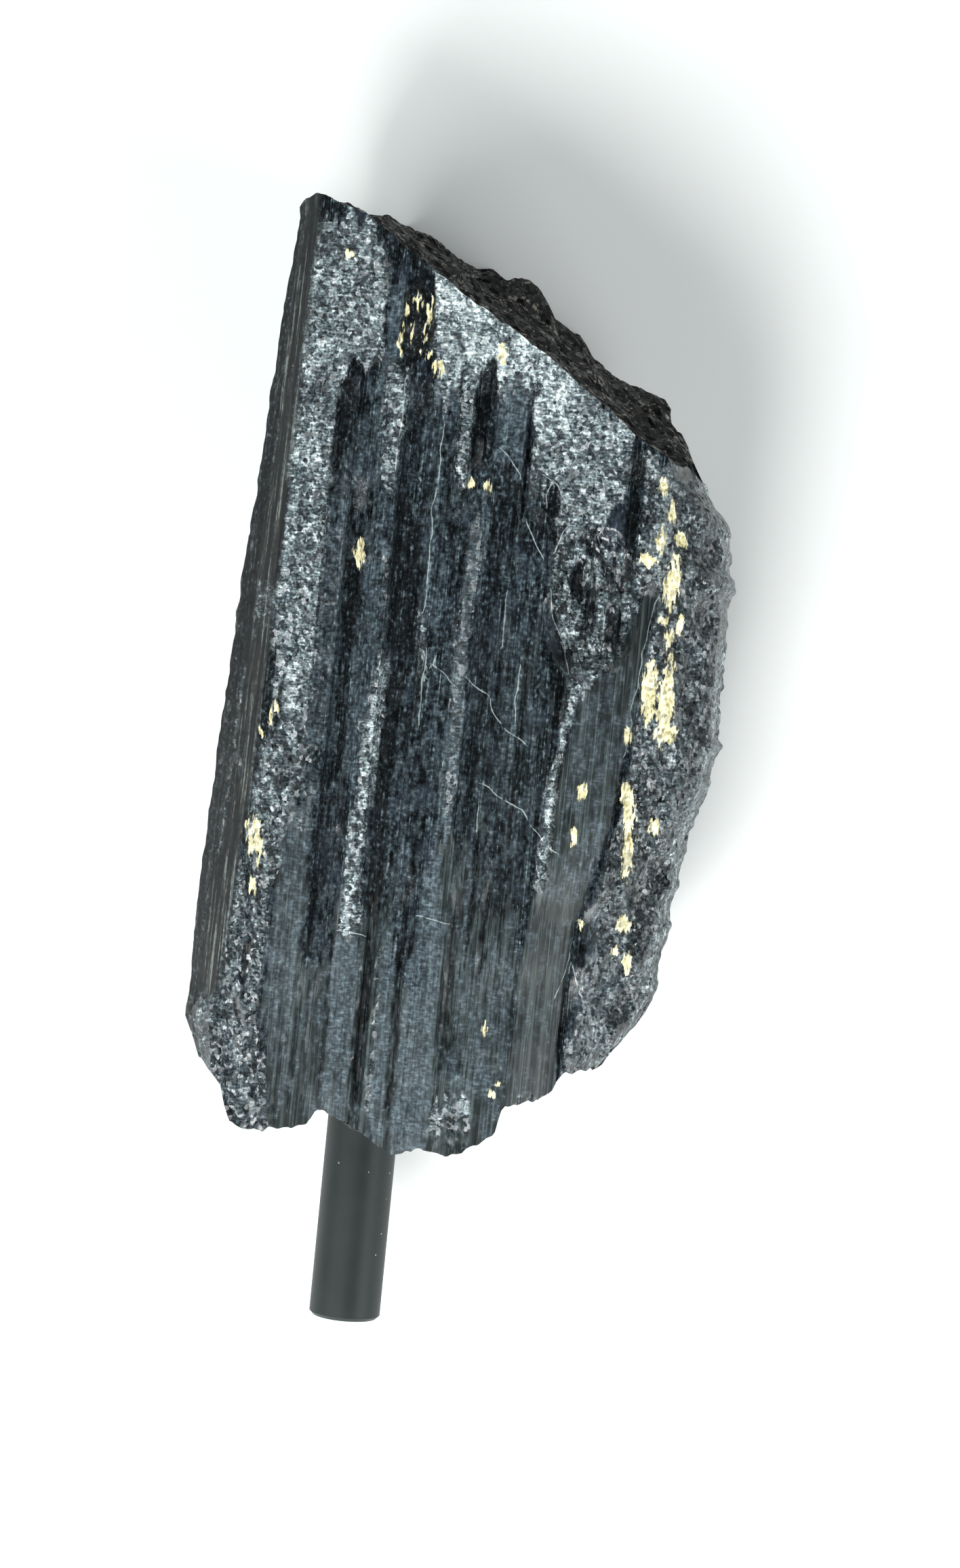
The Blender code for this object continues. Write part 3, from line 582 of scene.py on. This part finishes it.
def scattered(rim, spacing, seed):
    """Points about that far apart over the inside of a rim, none of them close to it."""
    low, high = rim.min(axis=0), rim.max(axis=0)
    i, j = np.meshgrid(*[np.arange(int(r) + 1) for r in (high - low) / spacing], indexing="ij")
    i, j = i.ravel(), j.ravel()
    x = low[0] + (i + 0.5 * (j % 2) + 0.25 * chance(i, j, seed)) * spacing
    z = low[1] + (j + 0.25 * chance(i, j, seed + 1)) * spacing
    points = np.stack([x, z], axis=1)
    points = points[inside(rim, points)]
    away = np.linalg.norm(points[:, None] - rim[None], axis=2).min(axis=1)
    return points[away > 0.5 * spacing]


def carried(flat, y):
    """Points given as (x, z), carried to their y."""
    return np.insert(flat, 1, y, axis=1)


def round_the_rod(radius):
    """Points of a circle about the rod's axis, as (x, z)."""
    turns = np.arange(ROD_SIDES) * 2 * math.pi / ROD_SIDES
    return np.stack([ROD_X + radius * np.cos(turns), ROD_Z + radius * np.sin(turns)], axis=1)


def end_faces(rim, hole, surface, seed):
    """The broken surface at an end: the points inside its rim, and triangles over rim, hole and points."""
    points = scattered(rim, END_SPACING, seed)
    if len(hole):
        away = np.linalg.norm(points - [ROD_X, ROD_Z], axis=1)
        points = points[away > HOLE_RADIUS + 0.5 * END_SPACING]
    edges = [(i, (i + 1) % len(rim)) for i in range(len(rim))]
    edges += [(len(rim) + i, len(rim) + (i + 1) % len(hole)) for i in range(len(hole))]
    flat = np.concatenate([rim, hole.reshape(-1, 2), points])
    _, _, triangles, sources, _, _ = delaunay_2d_cdt([Vector(p) for p in flat], edges, [], 1, 1e-6)
    faces = np.array([[sources[i][0] for i in triangle] for triangle in triangles])
    if len(hole):
        away = np.linalg.norm(flat[faces].mean(axis=1) - [ROD_X, ROD_Z], axis=1)
        faces = faces[away > HOLE_RADIUS]
    return carried(points, surface(*points.T)), faces


def ring_faces(start, count, rows):
    """Quads over rows of points that go round and close, numbered from a start."""
    i = np.arange(count)
    quads = []
    for row in range(rows - 1):
        low, high = start + row * count, start + (row + 1) * count
        quads.append(np.stack([low + i, low + (i + 1) % count, high + (i + 1) % count, high + i], axis=1))
    return np.concatenate(quads)


SURFACE_KINDS = ("silver", "pale", "dull", "dark", "stain", "vein", "vein_side", "rubbed")
# Up to which depth under the break at the tip the front is etched, in millimetres along the crystal.
EDGE_ETCHING = 9.0
# Above this the stains are thin, and they break up more.
THIN_STAINS_Y = 98.0
# Below this the bevel is etched, and no longer rubbed.
ETCHED_FOOT_Y = 34.0
PATCH_LENGTH = 21.0


def front_cover(points):
    """What covers the front: a dictionary from each kind of surface to its amount at each point."""
    x, y = points[:, 0], points[:, 1]
    stains = stained(x + 0.12 * lumps(x, y, 0.7, 51), y + 0.25 * lumps(x, y, 0.7, 52))
    edge_grains = 1.4 * ramp(y, at(TIP_EDGE, x) - EDGE_ETCHING, 3.0) * ramp(x, -2.5, 2.0) * ramp(-x, -17.5, 3.0)
    silver = np.maximum(cover(x, y, SILVER, 61), edge_grains * (1 - cover(x, y, PALE, 63)))
    flank = ramp(x, at(SLOPE_FOOT, y) + BAND_WALL, 1.0)
    hollow = ribbon(x, y, HOLLOW_FLOOR, 0.8)
    # Shade is painted into the gaps between the same crumbs that front_z() raises, and the whole flank is darkened a
    # little.
    gaps = np.maximum.reduce([
        flank * np.clip(1.9 - 3.4 * crumbs(x, y * 0.6, 0.9, 14), 0, 1),
        hollow * np.clip(2.1 - 3.3 * crumbs(x, y, 1.0, 15), 0, 1),
        cover(x, y, CRUMBLY, 69) * np.clip(1.4 - 2.4 * crumbs(x, y, 0.9, 18), 0, 1),
        0.36 * flank,
    ])
    # The dark amount is mostly painted shade, in grooves, pits, the crease and the gaps between crumbs.
    dark = np.maximum(cover(x, y, BLACK_AND_GROOVE_SHADE, 65, 0.3), 0.85 * gaps)
    vein_side, vein = veined(x + 0.25 * lumps(x, y, 1.3, 53), y + 0.2 * lumps(x, y, 1.1, 54))
    return {
        "silver": silver * (1 - dark),
        "pale": cover(x, y, PALE, 63, 0.3),
        "dull": cover(x, y, DULL, 67),
        "dark": dark,
        "stain": stains * (1 - 0.3 * ramp(y, THIN_STAINS_Y, 4.0)),
        "vein": vein,
        "vein_side": vein_side,
        "rubbed": np.zeros_like(y),
    }


def wall_cover(points):
    """What covers the sides and back, plate by plate, with the bevel's own finish on its strip and painted shade on
    its outer half.
    """
    y = points[:, 1]
    rows = len(y) // len(PLACES)
    place, plate = np.tile(PLACES, rows), np.tile(PLATES, rows)
    strip = ramp(place, LEFT_BROW_CORNER - 0.15, 0.15)
    # The outer, steeper half of the bevel's strip is painted near black as shade.
    shaded_outer_strip = strip * ramp(-place, -LEFT_BROW_CORNER - 0.5, 0.15)
    etched_foot = strip * ramp(-y, -ETCHED_FOOT_Y, 3.0)
    flank = ramp(-place, -RIGHT_BROW_CORNER - 0.5, 0.6)
    patch = np.floor((y + 30 * chance(plate, 1, 71)) / PATCH_LENGTH)
    kind = chance(plate, patch, 72)
    mottle = lumps(place * 10.0, y * 0.35, 2.0, 73)
    plate_silver = np.maximum((kind > 0.25) * (0.5 + 0.5 * mottle), (0.75 + 0.25 * mottle) * flank)
    strip_silver = np.clip(2.2 * lumps(place * 9.0, y * 0.12, 1.0, 76) - 0.8, 0, 0.55)
    streaks = np.clip(lumps(place * 14.0, y * 0.15, 1.1, 74) * 2 - 0.9, 0, 1)
    stains = np.clip(lumps(place * 12.0, y * 0.4, 1.6, 75) * 3 - 2.1, 0, 1)
    return {
        "silver": np.maximum.reduce([
            np.clip(plate_silver * (1 - strip), 0, 1), strip * strip_silver, 0.7 * etched_foot,
        ]),
        "pale": (np.abs(kind) < 0.25) * (0.35 + 0.25 * mottle) * (1 - strip),
        "dull": np.maximum(0.45 * strip, (kind < -0.35) * 0.8),
        "dark": np.maximum.reduce([streaks, 0.3 * flank, 0.9 * shaded_outer_strip]),
        "stain": stains * (1 - strip) * ramp(place, RIGHT_BROW_CORNER, 0.4),
        "vein": np.zeros_like(y),
        "vein_side": np.zeros_like(y),
        "rubbed": strip - etched_foot,
    }


def linear(hex_colour):
    """A linear RGBA colour from an sRGB hex value."""
    parts = [int(hex_colour[i : i + 2], 16) / 255 for i in (1, 3, 5)]
    return (*[p / 12.92 if p <= 0.04045 else ((p + 0.055) / 1.055) ** 2.4 for p in parts], 1.0)


def add(tree, kind, settings=(), **links):
    """Adds a shader node to a tree, sets its properties and inputs, and links its inputs to other nodes'
    outputs. An input whose name isn't a plain word is given by its number, as i0 or i1. A colour may be given
    as a hex value, and the stops of a colour ramp as (position, hex colour)."""
    node = tree.nodes.new("ShaderNode" + kind)
    for name, value in dict(settings).items():
        if name == "stops":
            elements = node.color_ramp.elements
            elements[0].position, elements[0].color = value[0][0], linear(value[0][1])
            elements[1].position, elements[1].color = value[-1][0], linear(value[-1][1])
            for position, colour in value[1:-1]:
                elements.new(position).color = linear(colour)
        elif isinstance(name, int) or name in node.inputs:
            node.inputs[name].default_value = value
        else:
            setattr(node, name, value)
    for name, source in links.items():
        key = int(name[1:]) if name[0] == "i" and name[1:].isdigit() else name.replace("_", " ")
        if isinstance(source, bpy.types.NodeSocket):
            tree.links.new(source, node.inputs[key])
        else:
            node.inputs[key].default_value = linear(source) if isinstance(source, str) else source
    return node


def new_material(name, **inputs):
    """A new material, its node tree and its Principled shader with those inputs set."""
    material = bpy.data.materials.new(name)
    material.use_nodes = True
    shader = material.node_tree.nodes["Principled BSDF"]
    for key, value in inputs.items():
        shader.inputs[key.replace("_", " ")].default_value = value
    return material, material.node_tree, shader


def blend_of(tree, *parts, plus=0.0, clamp=False):
    """The sum of several values, each given with its share, and of a plain number, kept from 0 to 1 if asked."""
    total = plus
    for value, share in parts:
        node = add(tree, "Math", {"operation": "MULTIPLY_ADD"}, i0=value, i1=share, i2=total)
        total = node.outputs[0]
    node.use_clamp = clamp
    return total


def tinted(tree, parts, stops, plus=0.0):
    """A colour for each place, picked from (position, hex colour) stops by a blend of patterns."""
    tone = blend_of(tree, *parts, plus=plus)
    return add(tree, "ValToRGB", {"stops": stops}, Fac=tone).outputs["Color"]


def layered(tree, colour, *layers):
    """A colour with others laid over it in turn, each given with how much of what is below it covers."""
    for amount, over in layers:
        mixed = add(tree, "Mix", {"data_type": "RGBA"}, Factor=amount, i6=colour, i7=over)
        colour = mixed.outputs[2]
    return colour


def dress(tree, shader, colour, roughness, strength, depth, **relief):
    """Links a shader to its colour, its roughness and a relief of that strength and depth in millimetres."""
    bump = add(tree, "Bump", {"Strength": strength, "Distance": depth * MM}, **relief)
    for source, place in ((colour, "Base Color"), (roughness, "Roughness"), (bump.outputs[0], "Normal")):
        tree.links.new(source, shader.inputs[place])


# How far cells are bent out of their regular shape, in their own widths, and how many bends a width holds.
CELL_BEND = 1.2
CELL_BEND_SCALE = 0.6


def patterns(tree):
    """Functions that draw noise and cells over the crystal, sized in millimetres across and along it."""
    place = add(tree, "TexCoord").outputs["Object"]

    def spread(across, along):
        scale = (1 / (MM * across), 1 / (MM * along), 1 / (MM * across))
        return add(tree, "Mapping", {"Scale": scale}, Vector=place).outputs[0]

    def noise(across, along, detail=2.0):
        look = {"Scale": 1.0, "Detail": detail}
        return add(tree, "TexNoise", look, Vector=spread(across, along)).outputs["Fac"]

    def cells(across, along):
        """Cells bent out of their regular shape: three random numbers for each."""
        look = {"Scale": CELL_BEND_SCALE, "Detail": 1.0}
        where = add(tree, "TexNoise", look, Vector=spread(across, along)).outputs["Color"]
        push = add(tree, "VectorMath", {"operation": "SCALE", "Scale": CELL_BEND}, i0=where)
        bent = add(tree, "VectorMath", {"operation": "ADD"}, i0=spread(across, along), i1=push.outputs[0])
        colours = add(tree, "TexVoronoi", {"Scale": 1.0}, Vector=bent.outputs[0]).outputs["Color"]
        return colours, *add(tree, "SeparateColor", Color=colours).outputs

    return noise, cells


def glittering(tree, colours, amount, upward=0.0):
    """The surface's normal, tilted grain by grain by the grains' random colours, so that each catches the
    light by itself. Where it is made of ledges too fine to model, it also leans upward."""
    tilt = add(tree, "VectorMath", {"operation": "SUBTRACT", 1: (0.5, 0.5, 0.5)}, i0=colours)
    tilted = add(tree, "VectorMath", {"operation": "SCALE"}, i0=tilt.outputs[0], Scale=amount)
    facing = add(tree, "NewGeometry").outputs["Normal"]
    leaning = add(tree, "VectorMath", {"operation": "ADD"}, i0=facing, i1=tilted.outputs[0])
    ledges = add(tree, "CombineXYZ", Z=upward)
    leaning = add(tree, "VectorMath", {"operation": "ADD"}, i0=leaning.outputs[0], i1=ledges.outputs[0])
    return add(tree, "VectorMath", {"operation": "NORMALIZE"}, i0=leaning.outputs[0]).outputs[0]


def tourmaline():
    """Schorl: opaque black, index 1.64, glassy where clean. Etching by the fluids that it grew in has left
    grey grains 0.3 to 0.6 mm across, which catch the light one by one, and clay minerals have left cream
    stains and a bluish bloom. Fine growth grooves run along it. Its colour also holds painted light: glints
    in the finest grain cells, and shade in the grooves, pits, crease and gaps between crumbs."""
    material, tree, shader = new_material("black_tourmaline", IOR=1.64, Metallic=0.0)
    noise, cells = patterns(tree)
    blend = partial(blend_of, tree)
    amounts = {kind: add(tree, "Attribute", {"attribute_name": kind}).outputs["Fac"] for kind in SURFACE_KINDS}
    rubbed = amounts["rubbed"]

    def ragged(kind, pattern, contrast, depth):
        """The amount of a kind of surface, with its edges broken up by a pattern and made sharper."""
        middle = 0.5 - 0.5 * contrast * (1 + depth)
        sharp = blend((amounts[kind], contrast), (pattern, contrast * depth), plus=middle, clamp=True)
        return blend((sharp, blend((amounts[kind], 5.0), clamp=True)))

    # Hair lines and wider strips along the crystal, specks, ripples across it, and slow changes.
    lines, strips, streaks = noise(0.15, 14.0), noise(0.8, 30.0), noise(0.45, 18.0)
    specks, ripples = noise(0.36, 0.5, 4.0), noise(0.7, 0.22, 3.0)
    mottle, haze = noise(0.9, 1.6, 3.0), noise(2.6, 4.0, 3.0)
    grains, grain_red, _, _ = cells(0.42, 0.46)
    _, _, glint_green, glint_blue = cells(0.2, 0.22)

    silver = ragged("silver", mottle, 1.5, 1.2)
    pale = ragged("pale", noise(0.7, 1.7, 5.0), 1.5, 1.8)
    dull = ragged("dull", noise(0.8, 6.0), 2.0, 0.5)
    # The dark amount: clean black windows, and shade painted into grooves, pits, the crease and crumb gaps.
    dark = ragged("dark", noise(0.3, 1.2, 4.0), 1.8, 2.6)
    stain = ragged("stain", noise(0.32, 1.3, 5.0), 4.0, 3.8)

    clean = tinted(tree, [(lines, 0.35), (strips, 0.2), (specks, 0.45)], [
        (0.42, "#010202"), (0.485, "#0a0d0f"), (0.54, "#1d2528"), (0.585, "#3d494e"), (0.63, "#6e7c82"),
        (0.69, "#aab7bb"),
    ])
    bloom = blend((haze, 3.0), (specks, 1.2), plus=-2.04, clamp=True)
    film = tinted(tree, [(lines, 0.2), (specks, 0.45), (ripples, 0.35)], [
        (0.36, "#192126"), (0.47, "#38444b"), (0.55, "#5a6870"), (0.67, "#8e9ca2"),
    ])
    worn = tinted(tree, [(lines, 0.5), (streaks, 0.4), (haze, 0.1)], [
        (0.4, "#101414"), (0.5, "#262c2c"), (0.6, "#464e4d"),
    ])
    # Where the silver is thin, it is darker. The near-white top of its tones, from the glint cells, is painted
    # glints.
    grain_tones = [(grain_red, 0.2), (glint_green, 0.2), (ripples, 0.6), (haze, 0.4), (amounts["silver"], 0.2)]
    etched_grey_and_glints = tinted(tree, grain_tones, [
        (0.48, "#07090b"), (0.59, "#20282c"), (0.68, "#465358"), (0.76, "#6f7c80"), (0.85, "#a3b0b2"),
        (0.93, "#e0e8e7"),
    ], plus=-0.18)
    ledges = tinted(tree, [(lines, 0.25), (streaks, 0.6), (specks, 0.15)], [
        (0.42, "#020202"), (0.5, "#0e0f0e"), (0.56, "#323431"), (0.62, "#7c817c"),
    ])
    # Clean black, laid by the dark amount: partly the crystal's own black, mostly painted shade.
    clean_black_and_shade = tinted(tree, [(specks, 0.7), (lines, 0.3)], [
        (0.42, "#030404"), (0.53, "#0a0e10"), (0.6, "#252d32"), (0.68, "#5c696f"),
    ])
    cream = tinted(tree, [(mottle, 0.5), (specks, 0.5)], [(0.36, "#8a7f56"), (0.45, "#d8cd9b"), (0.58, "#f4eecd")])

    # A vein is a line of uneven width, broken here and there. Far from it, its side isn't read.
    side = add(tree, "Math", {"operation": "ABSOLUTE"}, i0=amounts["vein_side"]).outputs[0]
    width = blend((specks, 2 * VEIN_HALF_WIDTH))
    across = add(tree, "Math", {"operation": "DIVIDE"}, i0=side, i1=width).outputs[0]
    near = add(tree, "Math", {"operation": "GREATER_THAN"}, i0=amounts["vein"], i1=VEIN_NEARNESS).outputs[0]
    unbroken = blend((mottle, 7.0), plus=-2.24, clamp=True)
    vein = blend((blend((blend((across, -1.0), plus=1.0, clamp=True), near)), unbroken))

    colour = layered(
        tree, clean, (blend((bloom, 0.6)), "#373f4b"), (dull, worn), (blend((pale, 0.8)), film),
        (blend((rubbed, 0.85)), ledges), (silver, etched_grey_and_glints), (blend((dark, 0.9)), clean_black_and_shade),
        (vein, "#a8b4b3"), (stain, cream),
    )
    roughness = blend((silver, 0.1), (pale, 0.12), (dull, 0.07), (stain, 0.5), (rubbed, 0.15), plus=0.22, clamp=True)
    tilt = blend((blend((silver, 1.7), clamp=True), 1.1))
    grain_height = blend((glint_blue, blend((silver, 0.35), plus=0.05)))
    carved = blend((dull, -0.8), plus=1.0)
    height = blend((blend((lines, 0.4), (specks, 0.5), (grain_height, 1.0)), carved))
    normal = glittering(tree, grains, tilt, rubbed)
    dress(tree, shader, colour, roughness, 0.7, 0.1, Height=height, Normal=normal)
    return material


def broken_tourmaline():
    """Schorl where it has snapped across: dull black crumbs about 1 mm across, a few with a grey glint painted into
    their colour.
    """
    material, tree, shader = new_material("broken_tourmaline", IOR=1.64, Metallic=0.0, Specular_IOR_Level=0.16)
    noise, cells = patterns(tree)
    crumb, crumb_red, _, _ = cells(0.9, 0.9)
    _, _, glint_green, glint_blue = cells(0.3, 0.3)
    # The pale top of this ramp, picked by the glint cells, is painted glints.
    colour = tinted(tree, [(crumb_red, 0.3), (glint_green, 0.5), (noise(1.5, 1.5), 0.4)], [
        (0.35, "#020202"), (0.62, "#0a0a09"), (0.8, "#232220"), (0.95, "#88847b"),
    ])
    roughness = blend_of(tree, (glint_blue, 0.4), plus=0.25)
    normal = glittering(tree, crumb, 1.6, 0.8)
    dress(tree, shader, colour, roughness, 0.8, 0.2, Height=glint_green, Normal=normal)
    return material


def black_paint():
    """Satin black enamel sprayed on a steel rod: a soft sheen, faint orange peel and a few specks of dust."""
    material, tree, shader = new_material("black_paint", IOR=1.5, Metallic=0.0, Specular_IOR_Level=0.3)
    place = add(tree, "TexCoord").outputs["Object"]
    peel = add(tree, "TexNoise", {"Scale": 1 / (0.6 * MM), "Detail": 2.0}, Vector=place).outputs["Fac"]
    cloud = add(tree, "TexNoise", {"Scale": 1 / (5 * MM), "Detail": 3.0}, Vector=place).outputs["Fac"]
    dust = add(tree, "TexVoronoi", {"Scale": 1 / (1.9 * MM)}, Vector=place).outputs["Distance"]
    speck = add(tree, "Math", {"operation": "LESS_THAN"}, i0=dust, i1=0.055).outputs[0]
    paint = tinted(tree, [(cloud, 1.0)], [(0.3, "#1d2323"), (0.7, "#242a2a")])
    colour = layered(tree, paint, (speck, "#8a9290"))
    dress(tree, shader, colour, blend_of(tree, (cloud, 0.16), plus=0.4), 0.25, 0.03, Height=peel)
    return material


def studio_paper():
    """Matt white paper under the crystal."""
    material, _, _ = new_material("studio_paper", Base_Color=linear("#f1f1f0"), Roughness=0.9)
    return material


def new_piece(name, points, faces, node, materials):
    """An object from points in millimetres in the measured frame, kept inside the box of the node it is for."""
    mesh = bpy.data.meshes.new(name)
    mesh.from_pydata(np.clip((np.asarray(points) + FRAME_SHIFT) * MM, *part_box(node)).tolist(), [], faces)
    for material in materials:
        mesh.materials.append(material)
    piece = bpy.data.objects.new(name, mesh)
    bpy.context.scene.collection.objects.link(piece)
    return piece


def make_crystal():
    """The crystal in one closed mesh: sides, broken tip, stepped foot and the hole that its rod is glued in."""
    sides = side_points()
    rows, count, _ = sides.shape
    hole = round_the_rod(HOLE_RADIUS)
    mouth, bottom = carried(hole, foot_y(*hole.T)), carried(hole, ROD_INNER_END + GLUE_GAP)
    foot_points, foot_triangles = end_faces(sides[0][:, [0, 2]], hole, foot_y, 21)
    tip_points, tip_triangles = end_faces(sides[-1][:, [0, 2]], np.zeros((0, 2)), tip_y, 31)

    # Numbers of the points: sides row by row, then the hole's mouth and bottom, then the foot and the tip.
    mouth_start = rows * count
    foot_start = mouth_start + 2 * ROD_SIDES
    tip_start = foot_start + len(foot_points)
    foot_numbers = np.concatenate([
        np.arange(count), mouth_start + np.arange(ROD_SIDES), foot_start + np.arange(len(foot_points)),
    ])
    tip_numbers = np.concatenate([(rows - 1) * count + np.arange(count), tip_start + np.arange(len(tip_points))])
    faces = ring_faces(0, count, rows)[:, ::-1].tolist()
    faces += ring_faces(mouth_start, ROD_SIDES, 2).tolist()
    faces += [(mouth_start + ROD_SIDES + np.arange(ROD_SIDES))[::-1].tolist()]
    faces += foot_numbers[foot_triangles].tolist()
    faces += tip_numbers[tip_triangles][:, ::-1].tolist()
    points = np.concatenate([sides.reshape(-1, 3), mouth, bottom, foot_points, tip_points])
    crystal = new_piece("tourmaline_crystal", points, faces, "crystal", [tourmaline(), broken_tourmaline()])
    grown_faces = (rows - 1) * count
    finish = np.arange(len(faces)) >= grown_faces
    crystal.data.polygons.foreach_set("material_index", finish.astype(np.int32))

    on_front = front_cover(sides[:, : len(FRONTS)].reshape(-1, 3))
    on_walls = wall_cover(sides[:, len(FRONTS) :].reshape(-1, 3))
    rest = 2 * ROD_SIDES + len(foot_points) + len(tip_points)
    for kind in SURFACE_KINDS:
        grid = np.concatenate([
            on_front[kind].reshape(rows, len(FRONTS)), on_walls[kind].reshape(rows, len(PLACES)),
        ], axis=1)
        values = np.concatenate([grid.ravel(), np.zeros(rest)])
        crystal.data.attributes.new(kind, "FLOAT", "POINT").data.foreach_set("value", values.astype(np.float32))
    crystal.data.shade_smooth()
    crystal.data.set_sharp_from_angle(angle=math.radians(SHARP_ANGLE))
    return crystal


def make_rod():
    """The painted rod, turned with a small chamfer at each end."""
    stations = [
        (ROD_FREE_END, ROD_RADIUS - ROD_CHAMFER), (ROD_FREE_END + ROD_CHAMFER, ROD_RADIUS),
        (ROD_INNER_END - ROD_CHAMFER, ROD_RADIUS), (ROD_INNER_END, ROD_RADIUS - ROD_CHAMFER),
    ]
    rings = [carried(round_the_rod(radius), y) for y, radius in stations]
    faces = ring_faces(0, ROD_SIDES, len(rings))[:, ::-1].tolist()
    faces += [np.arange(ROD_SIDES).tolist(), ((len(rings) - 1) * ROD_SIDES + np.arange(ROD_SIDES))[::-1].tolist()]
    rod = new_piece("display_rod", np.concatenate(rings), faces, "rod", [black_paint()])
    rod.data.shade_smooth()
    rod.data.set_sharp_from_angle(angle=math.radians(SHARP_ANGLE))
    return rod


def soft_light(name, power, size, direction, distance, aim):
    """A square soft light, a distance from what it is aimed at."""
    light = bpy.data.lights.new(name, "AREA")
    light.energy = power
    light.size = size
    light.color = (0.97, 1.0, 1.0)
    lamp = bpy.data.objects.new(name, light)
    bpy.context.scene.collection.objects.link(lamp)
    away = Vector(direction).normalized()
    lamp.location = Vector(aim) + away * distance
    lamp.rotation_euler = away.to_track_quat("Z", "Y").to_euler()
    return lamp


FLOOR_WIDTH = 3.2


def make_studio():
    """A pale floor, soft lights all round, and the room that the crystal mirrors."""
    floor = bpy.data.meshes.new("floor")
    half = FLOOR_WIDTH / 2
    floor.from_pydata([(-half, -half, 0), (half, -half, 0), (half, half, 0), (-half, half, 0)], [], [(0, 1, 2, 3)])
    floor.materials.append(studio_paper())
    ground = bpy.data.objects.new("floor", floor)
    bpy.context.scene.collection.objects.link(ground)

    aim = (0.0, 0.0, 0.02)
    soft_light("left_softbox", 3.6, 0.5, (-0.68, -0.62, 0.55), 0.75, aim)
    soft_light("right_softbox", 4.6, 0.5, (0.76, -0.55, 0.5), 0.75, aim)
    soft_light("near_lamp", 4.6, 0.25, (-0.2, -0.66, 0.72), 0.7, aim)
    soft_light("back_softbox", 1.5, 0.6, (-0.25, 0.8, 0.5), 0.8, aim)

    world = bpy.data.worlds.new("studio")
    world.use_nodes = True
    # Pale walls all round under a dark ceiling, which the clean black faces mirror.
    direction = add(world.node_tree, "TexCoord").outputs["Generated"]
    upward = add(world.node_tree, "SeparateXYZ", Vector=direction).outputs["Z"]
    heights = [(0.0, "#c2cacb"), (0.62, "#aeb7b9"), (0.84, "#3a3f42"), (1.0, "#2a2f33")]
    room = add(world.node_tree, "ValToRGB", {"stops": heights}, Fac=upward)
    background = world.node_tree.nodes["Background"]
    world.node_tree.links.new(room.outputs["Color"], background.inputs["Color"])
    background.inputs["Strength"].default_value = 0.8
    bpy.context.scene.world = world
    bpy.context.scene.view_settings.view_transform = "Standard"


# The photograph's view: its centre on the front face, how tall a piece of that face it shows, how far off it
# was taken, and how far the crystal leans in it.
VIEW_CENTRE = (9.04, 58.3)
FRONT_PLANE_Z = 34.0
VIEW_HEIGHT = 168.1
VIEW_DISTANCE = 300.0
SENSOR = 36.0
LEAN = math.radians(5.6)


def make_camera():
    """The camera, looking straight down on the front face from as far off as the photograph's was."""
    lens = bpy.data.cameras.new("camera")
    lens.sensor_width = SENSOR
    lens.lens = SENSOR * VIEW_DISTANCE / VIEW_HEIGHT
    lens.clip_start = 0.01
    camera = bpy.data.objects.new("camera", lens)
    bpy.context.scene.collection.objects.link(camera)
    place = np.array([*VIEW_CENTRE, FRONT_PLANE_Z + VIEW_DISTANCE]) + FRAME_SHIFT
    camera.location = Vector(place * MM)
    camera.rotation_euler = (0, 0, LEAN)
    bpy.context.scene.camera = camera


make_camera()
make_studio()
for piece, node in ((make_crystal(), "crystal"), (make_rod(), "rod")):
    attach(piece, "root")
    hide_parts(node)
